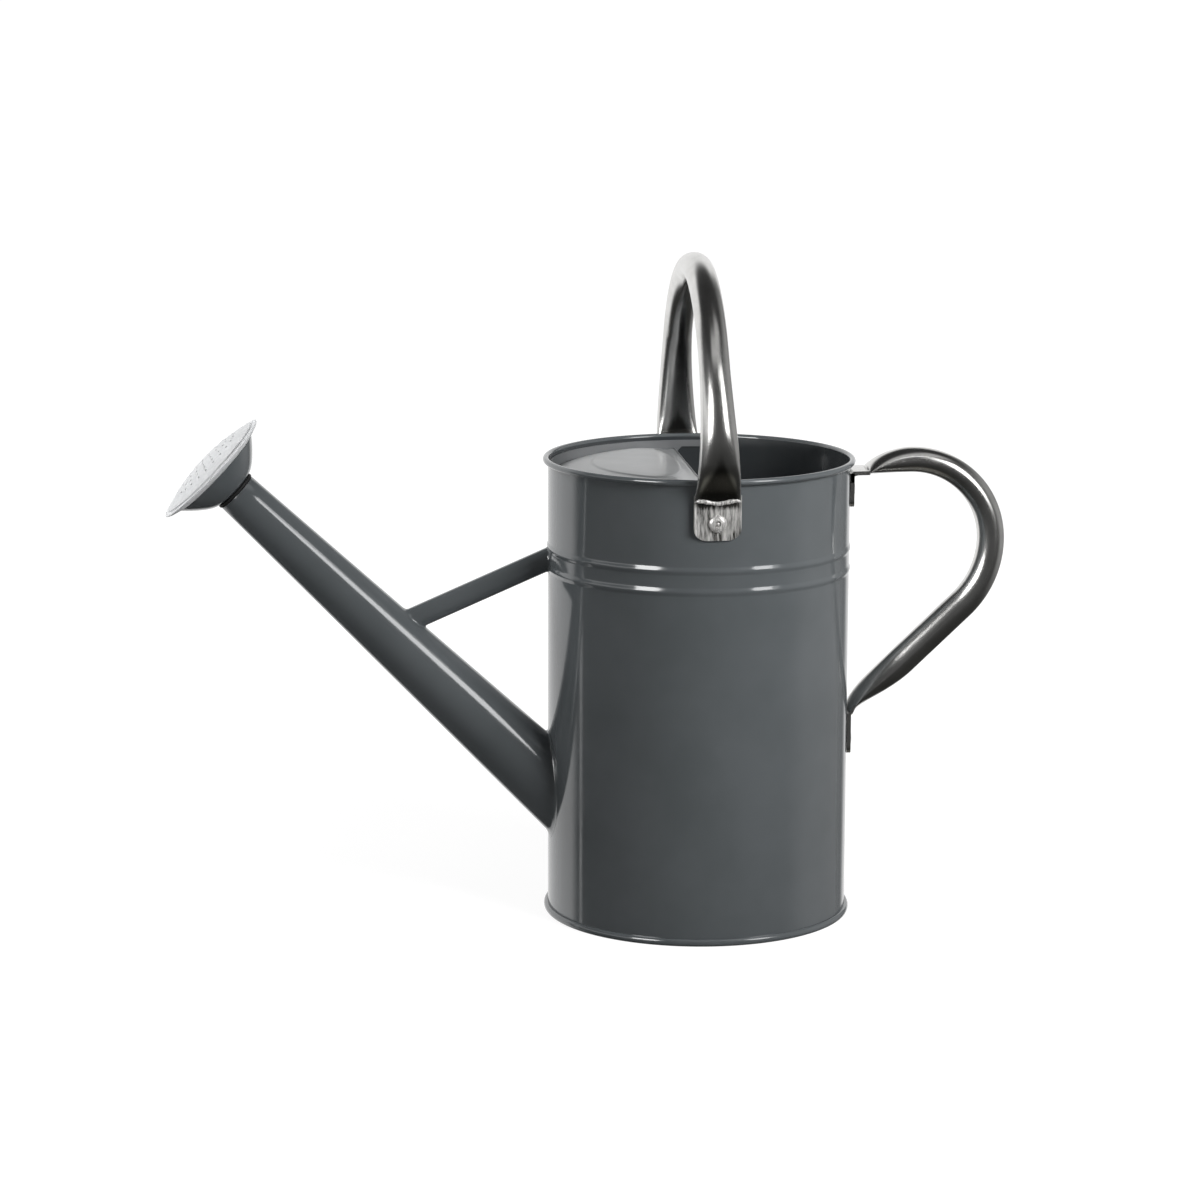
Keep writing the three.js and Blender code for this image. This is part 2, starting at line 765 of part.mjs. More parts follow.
// Bowl: from the neck out to its mouth on a rounded curve, one sheet thick
function roseBowl() {
  const steps = 6;
  const start = sealRadius - fitGap;
  const outside = [];
  for (let i = 0; i <= steps; i += 1) {
    const angle = ((Math.PI / 2) * i) / steps;
    outside.push([
      THREE.MathUtils.lerp(start, bowlRadius, Math.sin(angle) ** 0.95),
      bowlSeat + bowlDepth * (1 - Math.cos(angle)) ** 0.72,
    ]);
  }
  const inside = outside.map(([radius, height], i) => {
    const last = i === steps;
    return [last ? radius - sheet : radius - sheet / 2, last ? height : height + sheet];
  });
  const hole = neckRadius + fitGap;
  return turnedLoop([
    [hole, bowlSeat],
    ...outside,
    ...inside.reverse(),
    [hole, bowlSeat + sheet],
  ], spoutFacets);
}

// Face: a perforated dome folded at its rim to a flared back that seats on the bowl's mouth
function roseFace() {
  const back = bowlMouth + fitGap;
  const rim = back + roseFlare;
  const domeEdge = roseRadius - faceStepWidth;
  const fold = sheet * 0.9;
  const domePoints = (lift) => {
    const steps = 4;
    const points = [];
    for (let i = 0; i <= steps; i += 1) {
      const radius = domeEdge * (1 - i / steps);
      const share = radius / domeEdge;
      points.push([radius, rim + fold + faceStepHeight + faceRise * (1 - share * share) + lift]);
    }
    return points;
  };
  const profile = [
    ...domePoints(-sheet).reverse(),
    [domeEdge + sheet, rim + fold - sheet],
    [roseRadius - 2 * sheet, rim + fold - sheet],
    [bowlRadius - sheet, back + sheet],
    [bowlRadius - sheet, back],
    [bowlRadius + sheet, back],
    [roseRadius - sheet / 2, rim - sheet],
    [roseRadius, rim],
    [roseRadius - sheet / 2, rim + fold],
    [domeEdge + sheet / 2, rim + fold],
    ...domePoints(0),
  ];
  const holes = [];
  for (let ringNumber = 0; ringNumber < roseHoleRings; ringNumber += 1) {
    const count = Math.max(1, 6 * ringNumber);
    for (let i = 0; i < count; i += 1) {
      const angle = (2 * Math.PI * (i + (ringNumber % 2) / 2)) / count;
      const hole = post(roseHoleRadius, rim - cutOverrun, rim + faceRise + cutOverrun, holeFacets);
      const radius = ringNumber * roseHolePitch;
      hole.translate(radius * Math.cos(angle), radius * Math.sin(angle), 0);
      holes.push(hole);
    }
  }
  return shaped(turned(profile, spoutFacets), { cut: holes });
}

// Assembly

const can = new THREE.Group();

function addPiece(parent, name, geometry, finish, matrix) {
  const mesh = new THREE.Mesh(geometry, new THREE.MeshStandardMaterial(finish));
  mesh.name = name;
  if (matrix) mesh.applyMatrix4(matrix);
  parent.add(mesh);
}

addPiece(can, 'body_shell', bodyShell(), paint);
addPiece(can, 'rim_wire', rimWire(), paint);
addPiece(can, 'base_plate', basePlate(), paint);
addPiece(can, 'top_cover', topCover(), paint);
addPiece(can, 'spout_tube', spoutTube(), paint);
addPiece(can, 'brace_tube', braceTube(), paint);
addPiece(can, 'bail_handle', bailHandle(), stainless);
addPiece(can, 'rear_handle', rearHandle(), stainless);

const washerNames = {
  bail_rivet_near: 'bail_washer_near',
  bail_rivet_far: 'bail_washer_far',
  handle_rivet_upper: 'handle_washer_upper',
  handle_rivet_lower: 'handle_washer_lower',
};
for (const [name, { matrix, seat, headHeight }] of Object.entries(rivetPlaces)) {
  addPiece(can, name, rivet(seat, headHeight), stainless, matrix);
  addPiece(can, washerNames[name], washer(), stainless, matrix);
}

const rose = new THREE.Group();
rose.applyMatrix4(spoutPlace);
addPiece(rose, 'rose_neck', roseNeck(), galvanised);
addPiece(rose, 'rose_seal', roseSeal(), rubber);
addPiece(rose, 'rose_bowl', roseBowl(), paint);
addPiece(rose, 'rose_face', roseFace(), galvanised);
can.add(rose);

// The origin is on the ground, midway between the rose and the rear handle
const part = new THREE.Group();
const extent = new THREE.Box3().setFromObject(can, true);
can.position.x = -(extent.min.x + extent.max.x) / 2;
part.add(can);

export default part;
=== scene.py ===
import logging
import math
from collections.abc import Callable
from dataclasses import dataclass
from enum import Enum

import bmesh
import bpy
import numpy as np
from mathutils import Matrix, Vector


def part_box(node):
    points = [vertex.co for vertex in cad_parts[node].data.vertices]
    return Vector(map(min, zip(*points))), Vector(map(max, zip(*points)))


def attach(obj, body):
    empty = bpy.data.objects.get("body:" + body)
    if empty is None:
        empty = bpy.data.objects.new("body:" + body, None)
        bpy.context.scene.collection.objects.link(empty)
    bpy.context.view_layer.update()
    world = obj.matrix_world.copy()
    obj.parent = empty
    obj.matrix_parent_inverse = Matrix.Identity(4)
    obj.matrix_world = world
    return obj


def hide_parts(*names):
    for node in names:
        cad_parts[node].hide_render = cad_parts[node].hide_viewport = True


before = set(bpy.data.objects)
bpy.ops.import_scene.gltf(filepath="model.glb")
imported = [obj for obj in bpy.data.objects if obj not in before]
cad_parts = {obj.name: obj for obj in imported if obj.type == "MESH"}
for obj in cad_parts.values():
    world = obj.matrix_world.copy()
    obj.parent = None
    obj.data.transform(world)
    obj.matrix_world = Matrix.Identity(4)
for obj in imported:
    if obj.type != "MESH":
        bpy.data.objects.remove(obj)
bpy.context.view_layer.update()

MM = 0.001
TURN = 2 * math.pi
LOG = logging.getLogger("watering can")

# Sizes that several pieces share, in millimetres: the wall's outer radius, the thickness of the
# sheet steel, and the distances from the can's axis of a tab's back and of the bail tabs' face
WALL = 80.0
SHEET = 0.6
TAB_BACK = 80.3
TAB_FACE = 81.3

Array = np.ndarray
Mesh = bpy.types.Mesh
Material = bpy.types.Material
Tree = bpy.types.NodeTree
Socket = bpy.types.NodeSocket
Pair = tuple[float, float]
Triple = tuple[float, float, float]


class Slot(Enum):
    """The record's material slots."""

    PAINT = "slate_paint"
    STEEL = "polished_steel"
    ZINC = "zinc_steel"
    RUBBER = "black_rubber"


class Body(Enum):
    """The bodies that pieces ride on."""

    CAN = "can"
    SEAL = "seal"
    ROSE = "rose"


# Curves and grids of points, in millimetres with the can's axis on Z


def can_axis() -> Array:
    """The foot of the can's axis in the scene, in metres: the middle of the wall's box."""
    low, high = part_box("body_shell")
    return np.array([(low.x + high.x) / 2, (low.y + high.y) / 2, 0.0])


def lerp(start: Array | float, end: Array | float, share: Array | float) -> Array:
    """The value a share of the way from start to end: start plus share times their difference."""
    return start + (np.asarray(end) - start) * share


def eased(share: Array | float) -> Array:
    """A share clipped to 0 and 1 and eased at both ends: three squares less two cubes."""
    clipped = np.clip(share, 0.0, 1.0)
    return clipped * clipped * (3.0 - 2.0 * clipped)


def unit(vectors: Array) -> Array:
    """Vectors, one a row, each divided by its length."""
    return vectors / np.linalg.norm(vectors, axis=1)[:, None]


def bent(start: Array, corner: Array, end: Array, share: float) -> Array:
    """A share of the way round a bend: its three points weighed by the binomial squares."""
    return (1 - share) ** 2 * start + 2 * share * (1 - share) * corner + share**2 * end


def turns(count: int) -> Array:
    """The angles of equal steps round a whole turn."""
    return np.arange(count) * TURN / count


def arc(radius: float, centre: Pair, start: float, end: float, steps: int) -> Array:
    """Points of a circular arc in a plane.

    Args:
        radius: The arc's radius.
        centre: Its centre.
        start: Its first angle in radians.
        end: Its last angle in radians.
        steps: How many chords it has.

    Returns:
        The points, centre plus radius times the cosine and sine of the angle.
    """
    angle = np.linspace(start, end, steps + 1)
    return np.stack([centre[0] + radius * np.cos(angle), centre[1] + radius * np.sin(angle)], 1)


def through(knots: Array, count: int) -> Array:
    """A smooth curve through points.

    Args:
        knots: The points, one a row.
        count: How many points to return.

    Returns:
        Points on a Catmull-Rom curve: on each span a cubic whose end slopes are half the step
        between the neighbours of its ends.
    """
    ends = np.vstack([2 * knots[0] - knots[1], knots, 2 * knots[-1] - knots[-2]])
    place = np.linspace(0, len(knots) - 1, count)
    span = np.minimum(place.astype(int), len(knots) - 2)
    t = (place - span)[:, None]
    a, b, c, d = (ends[span + k] for k in range(4))
    return b + 0.5 * t * (c - a + t * (2 * a - 5 * b + 4 * c - d + t * (3 * (b - c) + d - a)))


def revolved(profile: Array, facets: int) -> Array:
    """A grid turned about Z.

    Args:
        profile: Points of radius and height.
        facets: How many steps go round.

    Returns:
        The grid of profile points by facets: radius times cosine and sine of the angle, and height.
    """
    angle = turns(facets)
    radius, height = profile[:, :1], profile[:, 1:]
    return np.stack([radius * np.cos(angle), radius * np.sin(angle), height + 0 * angle], 2)


@dataclass(frozen=True)
class Seat:
    """A frame of its own for a piece: an origin in the can's frame and three directions.

    Attributes:
        origin: Where its zero is.
        right: The direction of its X axis.
        back: The direction of its Y axis.
        up: The direction of its Z axis.
    """

    origin: Triple
    right: Triple
    back: Triple
    up: Triple

    def place(self, points: Array) -> Array:
        """Points of this frame in the can's frame."""
        return np.array(self.origin) + points @ np.array([self.right, self.back, self.up])


class Skin:
    """Grids of points that are joined into one mesh, with a map of lengths across and along."""

    def __init__(self, name: str) -> None:
        """Starts an empty skin.

        Args:
            name: The piece's name.
        """
        self.name = name
        self.points: list[Array] = []
        self.faces: list[Array] = []
        self.lays: list[Array] = []
        self.count = 0

    def add(self, grid: Array, loop_rows: bool = False, loop_columns: bool = False) -> "Skin":
        """Adds a grid's quads, and maps each corner by its length across and along the grid.

        Args:
            grid: Points as rows by columns by three.
            loop_rows: Whether the last row joins the first.
            loop_columns: Whether the last column joins the first.

        Returns:
            The skin itself.
        """
        rows, columns = grid.shape[:2]
        i, j = np.meshgrid(
            np.arange(rows if loop_rows else rows - 1),
            np.arange(columns if loop_columns else columns - 1),
            indexing="ij",
        )
        i, j = i.ravel(), j.ravel()
        corner_rows = np.stack([i, i, i + 1, i + 1], 1)
        corner_columns = np.stack([j, j + 1, j + 1, j], 1)
        quads = (corner_rows % rows) * columns + corner_columns % columns
        across = np.linalg.norm(np.roll(grid, -1, 1) - grid, axis=2).max(0)
        along = np.linalg.norm(np.roll(grid, -1, 0) - grid, axis=2).mean(1)
        across_sum = np.concatenate([[0.0], np.cumsum(across)]) * MM
        along_sum = np.concatenate([[0.0], np.cumsum(along)]) * MM
        self.points.append(grid.reshape(-1, 3))
        self.faces.append(quads + self.count)
        self.lays.append(np.stack([across_sum[corner_columns], along_sum[corner_rows]], 2))
        self.count += rows * columns
        return self

    def add_slab(self, outer: Array, inner: Array) -> "Skin":
        """Adds two facing grids of equal size and the four strips that close their edges.

        Args:
            outer: The grid of the outer face.
            inner: The grid of the inner face.

        Returns:
            The skin itself.
        """
        self.add(outer).add(inner[::-1])
        for a, b in ((outer[0], inner[0]), (outer[-1], inner[-1])):
            self.add(np.stack([a, b]))
        for a, b in ((outer[:, 0], inner[:, 0]), (outer[:, -1], inner[:, -1])):
            self.add(np.stack([a, b]))
        return self

    def add_tube(self, outer: Array, inner: Array) -> "Skin":
        """Adds a tube's outer and inner grids, whose columns loop, and the rings that close its ends."""
        grid = np.concatenate([outer, inner[::-1]])
        return self.add(grid, loop_rows=True, loop_columns=True)

    def mesh(self, sharp: float = 40.0) -> Mesh:
        """Makes the mesh: doubles merged, faces turned outwards, smooth but for sharp edges.

        Args:
            sharp: The angle in degrees from which an edge stays sharp.

        Returns:
            The new mesh, in metres and in the row frame.
        """
        points = np.concatenate(self.points) * MM + can_axis()
        mesh = bpy.data.meshes.new(self.name)
        mesh.from_pydata(points.tolist(), [], np.concatenate(self.faces).tolist())
        lay = mesh.uv_layers.new(name="Lay")
        lay.data.foreach_set("uv", np.concatenate(self.lays).astype(np.float32).ravel())
        tidy(mesh)
        mesh.set_sharp_from_angle(angle=math.radians(sharp))
        return mesh


def tidy(mesh: Mesh) -> None:
    """Merges doubles, drops faces without area and turns the rest outwards.

    Args:
        mesh: The mesh, which is changed in place.
    """
    work = bmesh.new()
    work.from_mesh(mesh)
    bmesh.ops.remove_doubles(work, verts=work.verts, dist=2e-6)
    bmesh.ops.dissolve_degenerate(work, dist=1e-6, edges=work.edges)
    bmesh.ops.recalc_face_normals(work, faces=work.faces)
    for face in work.faces:
        face.smooth = True
    work.to_mesh(mesh)
    work.free()


def shade(mesh: Mesh, rule: Callable[[Array], Array]) -> None:
    """Stores a share of painted shade at each vertex for the finish to read.

    Args:
        mesh: The mesh.
        rule: Gives the share for points in the can's frame, in millimetres.
    """
    flat = np.empty(len(mesh.vertices) * 3)
    mesh.vertices.foreach_get("co", flat)
    points = (flat.reshape(-1, 3) - can_axis()) / MM
    attribute = mesh.attributes.new("Shade", "FLOAT", "POINT")
    attribute.data.foreach_set("value", rule(points).astype(np.float32))


def cut(mesh: Mesh, tools: list[Mesh], sharp: float = 40.0) -> Mesh:
    """Cuts closed tools out of a closed mesh.

    Args:
        mesh: The mesh that is cut.
        tools: Closed meshes that are taken away.
        sharp: The angle in degrees from which an edge stays sharp.

    Returns:
        The cut mesh.
    """
    work = bpy.data.objects.new("work", mesh)
    bpy.context.scene.collection.objects.link(work)
    helpers = [work]
    for tool in tools:
        cutter = bpy.data.objects.new("cutter", tool)
        bpy.context.scene.collection.objects.link(cutter)
        helpers.append(cutter)
        modifier = work.modifiers.new("cut", "BOOLEAN")
        modifier.operation = "DIFFERENCE"
        modifier.solver = "EXACT"
        modifier.object = cutter
    bpy.context.view_layer.update()
    graph = bpy.context.evaluated_depsgraph_get()
    result = bpy.data.meshes.new_from_object(work.evaluated_get(graph))
    result.name = mesh.name
    for helper in helpers:
        bpy.data.objects.remove(helper)
    result.set_sharp_from_angle(angle=math.radians(sharp))
    return result


def settle(
    mesh: Mesh,
    body: Body,
    material: Material,
    nodes: tuple[str, ...],
    bevel: float = 0.0,
) -> bpy.types.Object:
    """Makes a piece of a mesh, gives it its finish and lets it ride on its body.

    Args:
        mesh: The finished mesh.
        body: The body it rides on.
        material: Its material.
        nodes: The CAD nodes it stands for.
        bevel: The width in millimetres to which its sharp edges are rounded, or 0.

    Returns:
        The new object.
    """
    piece = bpy.data.objects.new(mesh.name, mesh)
    bpy.context.scene.collection.objects.link(piece)
    mesh.materials.clear()
    mesh.materials.append(material)
    if bevel:
        rounding = piece.modifiers.new("Rounded edges", "BEVEL")
        rounding.width = bevel * MM
        rounding.segments = 2
        rounding.limit_method = "ANGLE"
        rounding.angle_limit = math.radians(50)
        rounding.harden_normals = False
    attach(piece, body.value)
    if nodes:
        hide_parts(*nodes)
    LOG.info("%s: %d faces, rides on %s", piece.name, len(mesh.polygons), body.value)
    return piece


# Finishes


def mixed(tree: Tree, share: Socket, low: Triple | Socket, high: Triple) -> Socket:
    """A mix of two colours in a node tree.

    Args:
        tree: The node tree.
        share: The share of the second colour.
        low: The first colour, or the socket that gives it.
        high: The second colour.

    Returns:
        The socket with the mixed colour.
    """
    node = tree.nodes.new("ShaderNodeMix")
    node.data_type = "RGBA"
    first, second = (socket for socket in node.inputs if socket.type == "RGBA")
    if isinstance(low, Socket):
        tree.links.new(low, first)
    else:
        first.default_value = (*low, 1.0)
    second.default_value = (*high, 1.0)
    tree.links.new(share, node.inputs[0])
    return next(socket for socket in node.outputs if socket.type == "RGBA")


def ranged(
    tree: Tree, source: Socket, span: Pair, target: Pair = (0.0, 1.0), smooth: bool = False
) -> Socket:
    """A value taken from one range to another, clipped at its ends.

    Args:
        tree: The node tree.
        source: The value.
        span: The start and end of its range.
        target: What they become.
        smooth: Whether the value is eased at both ends.

    Returns:
        The socket with the new value.
    """
    node = tree.nodes.new("ShaderNodeMapRange")
    if smooth:
        node.interpolation_type = "SMOOTHSTEP"
    for name, value in zip(("From Min", "From Max", "To Min", "To Max"), (*span, *target)):
        node.inputs[name].default_value = value
    tree.links.new(source, node.inputs["Value"])
    return node.outputs["Result"]


class Wiring:
    """A material's node tree, with short ways to add nodes and to join them."""

    def __init__(self, name: str) -> None:
        """Starts a material that holds a Principled shader and its output.

        Args:
            name: The material's name.
        """
        self.material = bpy.data.materials.new(name)
        self.material.use_nodes = True
        self.tree = self.material.node_tree
        self.tree.nodes.clear()
        output = self.tree.nodes.new("ShaderNodeOutputMaterial")
        self.shader = self.tree.nodes.new("ShaderNodeBsdfPrincipled")
        self.tree.links.new(self.shader.outputs["BSDF"], output.inputs["Surface"])

    def set(self, **values: float | tuple) -> None:
        """Sets sockets of the shader by name, with underscores for blanks."""
        for name, value in values.items():
            self.shader.inputs[name.replace("_", " ")].default_value = value

    def join(self, source: Socket, name: str) -> None:
        """Joins a socket to one of the shader's."""
        self.tree.links.new(source, self.shader.inputs[name])

    def coordinates(self, *scale: float, lay: bool = False) -> Socket:
        """Object coordinates, or the piece's own map, scaled along each axis.

        Args:
            scale: How many pattern units a metre has along all axes, or along each of the three.
            lay: Whether to read the map of lengths and not the object's own coordinates.

        Returns:
            The socket with the scaled coordinates.
        """
        source = self.tree.nodes.new("ShaderNodeTexCoord")
        mapping = self.tree.nodes.new("ShaderNodeMapping")
        mapping.inputs["Scale"].default_value = scale if len(scale) == 3 else scale * 3
        self.tree.links.new(source.outputs["UV" if lay else "Object"], mapping.inputs["Vector"])
        return mapping.outputs["Vector"]

    def noise(self, vector: Socket, detail: float = 2.0, rough: float = 0.5) -> Socket:
        """Noise on coordinates.

        Args:
            vector: The coordinates.
            detail: How many finer layers it has.
            rough: How strong its finer layers are.

        Returns:
            The socket with its value.
        """
        node = self.tree.nodes.new("ShaderNodeTexNoise")
        node.inputs["Scale"].default_value = 1.0
        node.inputs["Detail"].default_value = detail
        node.inputs["Roughness"].default_value = rough
        self.tree.links.new(vector, node.inputs["Vector"])
        return node.outputs["Fac"]

    def cells(self, vector: Socket) -> Socket:
        """A random grey for each cell round scattered points.

        Args:
            vector: The coordinates.

        Returns:
            The socket with the grey.
        """
        node = self.tree.nodes.new("ShaderNodeTexVoronoi")
        node.inputs["Scale"].default_value = 1.0
        self.tree.links.new(vector, node.inputs["Vector"])
        split = self.tree.nodes.new("ShaderNodeSeparateColor")
        self.tree.links.new(node.outputs["Color"], split.inputs["Color"])
        return split.outputs["Red"]

    def shading(self) -> Socket:
        """The share of painted shade in the piece's Shade attribute, which is 0 on a piece without it.

        Returns:
            The socket with the share.
        """
        node = self.tree.nodes.new("ShaderNodeAttribute")
        node.attribute_name = "Shade"
        return node.outputs["Fac"]

    def spread(self, source: Socket, span: Pair = (0.3, 0.7), target: Pair = (0.0, 1.0)) -> Socket:
        """A value taken from one range to another, clipped at its ends."""
        return ranged(self.tree, source, span, target)

    def tint(self, share: Socket, low: Triple | Socket, high: Triple) -> Socket:
        """A colour between two, by a share."""
        return mixed(self.tree, share, low, high)

    def relief(self, height: Socket, depth: float, strength: float = 1.0) -> None:
        """Bumps the surface.

        Args:
            height: The height, from 0 to 1.
            depth: How high 1 stands, in millimetres.
            strength: How strongly the bumps turn the surface.
        """
        node = self.tree.nodes.new("ShaderNodeBump")
        node.inputs["Strength"].default_value = strength
        node.inputs["Distance"].default_value = depth * MM
        self.tree.links.new(height, node.inputs["Height"])
        self.join(node.outputs["Normal"], "Normal")


@dataclass(frozen=True)
class Finish:
    """What every finish of the can has.

    Attributes:
        name: The material's name.
        dark: Its darker tone.
        light: Its lighter tone.
        rough: Its lowest and highest roughness.
    """

    name: str
    dark: Triple
    light: Triple
    rough: Pair


@dataclass(frozen=True)
class Enamel(Finish):
    """Glossy slate enamel: even grey with a faint cloud in it and fine orange peel.

    Attributes:
        index: Its index of refraction.
        peel: How deep its orange peel is, in millimetres.
    """

    name: str = "slate enamel"
    dark: Triple = (0.084, 0.093, 0.098)
    light: Triple = (0.096, 0.105, 0.111)
    rough: Pair = (0.08, 0.14)
    index: float = 1.8
    peel: float = 0.02

    def material(self) -> Material:
        """Makes the material.

        Returns:
            The new material.
        """
        wiring = Wiring(self.name)
        wiring.set(Metallic=0.0, IOR=self.index)
        cloud = wiring.noise(wiring.coordinates(22.0), 3.0)
        wiring.join(wiring.tint(wiring.spread(cloud, (0.35, 0.65)), self.dark, self.light), "Base Color")
        smudge = wiring.noise(wiring.coordinates(60.0), 4.0, 0.6)
        wiring.join(wiring.spread(smudge, target=self.rough), "Roughness")
        peel = wiring.noise(wiring.coordinates(420.0), 1.0)
        wiring.relief(peel, self.peel, 0.5)
        return wiring.material


@dataclass(frozen=True)
class Stainless(Finish):
    """Polished stainless tube: fine draw lines along it, faint smears, a warm grey tone, and painted shade
    where its Shade attribute is full.

    Attributes:
        painted_hollow_shade: Its tone where the Shade attribute is full: painted shade for the dark
            reflection in the pressed hollows.
        lines: How deep the draw lines are, in millimetres.
    """

    name: str = "polished stainless"
    dark: Triple = (0.63, 0.625, 0.61)
    light: Triple = (0.77, 0.765, 0.75)
    rough: Pair = (0.21, 0.25)
    # Dark grey painted into the feet's hollows as painted shade for their dark reflection.
    painted_hollow_shade: Triple = (0.13, 0.127, 0.12)
    lines: float = 0.0003

    def material(self) -> Material:
        """Makes the material.

        Returns:
            The new material.
        """
        wiring = Wiring(self.name)
        wiring.set(Metallic=1.0)
        drawn = wiring.noise(wiring.coordinates(2400.0, 45.0, 1.0, lay=True), 3.0, 0.6)
        smear = wiring.noise(wiring.coordinates(70.0), 4.0, 0.6)
        clean = wiring.tint(wiring.spread(smear), self.dark, self.light)
        # Painted shade: the tone goes to the dark grey where the Shade attribute is full.
        wiring.join(wiring.tint(wiring.shading(), clean, self.painted_hollow_shade), "Base Color")
        wiring.join(wiring.spread(drawn, target=self.rough), "Roughness")
        wiring.relief(drawn, self.lines)
        return wiring.material


@dataclass(frozen=True)
class PressedSteel(Finish):
    """Stainless steel where a press has flattened it: dulled, with dark scuffs down its length, and painted
    shadow where its Shade attribute is full.

    Attributes:
        scuff: How deep its scuffs are, in millimetres.
    """

    name: str = "pressed stainless"
    dark: Triple = (0.050, 0.048, 0.044)
    light: Triple = (0.74, 0.73, 0.71)
    rough: Pair = (0.24, 0.38)
    scuff: float = 0.04

    def material(self) -> Material:
        """Makes the material.

        Returns:
            The new material.
        """
        wiring = Wiring(self.name)
        wiring.set(Metallic=0.5)
        scuffs = wiring.noise(wiring.coordinates(900.0, 900.0, 90.0), 5.0, 0.65)
        # Painted shadow: the Shade attribute is taken off the scuffs' share, which turns the tabs dark below
        # the lip.
        clean = wiring.tree.nodes.new("ShaderNodeMath")
        clean.operation = "SUBTRACT"
        clean.use_clamp = True
        wiring.tree.links.new(wiring.spread(scuffs, (0.36, 0.60)), clean.inputs[0])
        wiring.tree.links.new(wiring.shading(), clean.inputs[1])
        wiring.join(wiring.tint(clean.outputs[0], self.dark, self.light), "Base Color")
        wiring.join(wiring.spread(scuffs, target=self.rough), "Roughness")
        wiring.relief(scuffs, self.scuff, 0.6)
        return wiring.material


@dataclass(frozen=True)
class Zinc(Finish):
    """Galvanised sheet: pale, with the spangle of zinc crystals and a soft bloom.

    Attributes:
        bloom: How deep its bloom is, in millimetres.
    """

    name: str = "galvanised sheet"
    dark: Triple = (0.66, 0.67, 0.68)
    light: Triple = (0.75, 0.76, 0.77)
    rough: Pair = (0.50, 0.66)
    bloom: float = 0.04

    def material(self) -> Material:
        """Makes the material.

        Returns:
            The new material.
        """
        wiring = Wiring(self.name)
        wiring.set(Metallic=0.12)
        crystals = wiring.cells(wiring.coordinates(520.0))
        wiring.join(wiring.tint(crystals, self.dark, self.light), "Base Color")
        bloom = wiring.noise(wiring.coordinates(400.0), 3.0)
        wiring.join(wiring.spread(bloom, target=self.rough), "Roughness")
        wiring.relief(bloom, self.bloom)
        return wiring.material


@dataclass(frozen=True)
class Rubber(Finish):
    """Black rubber: matt, with a fine moulded grain.

    Attributes:
        grain: How deep its grain is, in millimetres.
    """

    name: str = "black rubber"
    dark: Triple = (0.006, 0.006, 0.006)
    light: Triple = (0.014, 0.014, 0.014)
    rough: Pair = (0.5, 0.7)
    grain: float = 0.03

    def material(self) -> Material:
        """Makes the material.

        Returns:
            The new material.
        """
        wiring = Wiring(self.name)
        grain = wiring.noise(wiring.coordinates(1500.0), 3.0)
        wiring.join(wiring.tint(grain, self.dark, self.light), "Base Color")
        wiring.join(wiring.spread(grain, target=self.rough), "Roughness")
        wiring.relief(grain, self.grain)
        return wiring.material


@dataclass(frozen=True)
class Finishes:
    """Every finish of the can, each made once.

    Attributes:
        enamel: The paint of the can, spout, brace and rose bowl.
        inner: The paint inside the can, darker than the enamel: painted shade for the can's shaded inside.
        lid: The rougher paint on the half lid, lighter than the enamel as painted sheen for the light the
            lid catches.
        dull: The dull paint on the lid's skirt, lighter than the enamel as painted light for the lit band
            there.
        stainless: The polished tube of the handles.
        pressed: The riveted tabs.
        riveted: The rivets and the rolled lips.
        zinc: The rose's face and neck, the washers and the rim wire.
        rubber: The ring between the spout and the rose.
    """

    enamel: Material
    inner: Material
    lid: Material
    dull: Material
    stainless: Material
    pressed: Material
    riveted: Material
    zinc: Material
    rubber: Material

    @classmethod
    def make(cls) -> "Finishes":
        """Makes all nine materials.

        Returns:
            The set of finishes.
        """
        kinds = (
            Enamel(),
            # Painted shade: the inner paint is darker than the enamel to stand for the shade inside the can.
            Enamel("inner paint", (0.036, 0.040, 0.043), (0.045, 0.049, 0.052), (0.12, 0.2)),
            # Painted sheen: the lid paint is lighter than the enamel for the light the lid's crown catches.
            Enamel("lid paint", (0.200, 0.206, 0.210), (0.220, 0.226, 0.230), (0.31, 0.36)),
            # Painted light: the dull paint is lighter than the enamel for the lit band along the lid's
            # skirt.
            Enamel("dull paint", (0.12, 0.125, 0.13), (0.17, 0.175, 0.18), (0.36, 0.5)),
            Stainless(),
            PressedSteel(),
            PressedSteel("rivet steel", (0.42, 0.41, 0.40), (0.80, 0.79, 0.77), (0.22, 0.32)),
            Zinc(),
            Rubber(),
        )
        return cls(*(kind.material() for kind in kinds))


# Sub-assemblies


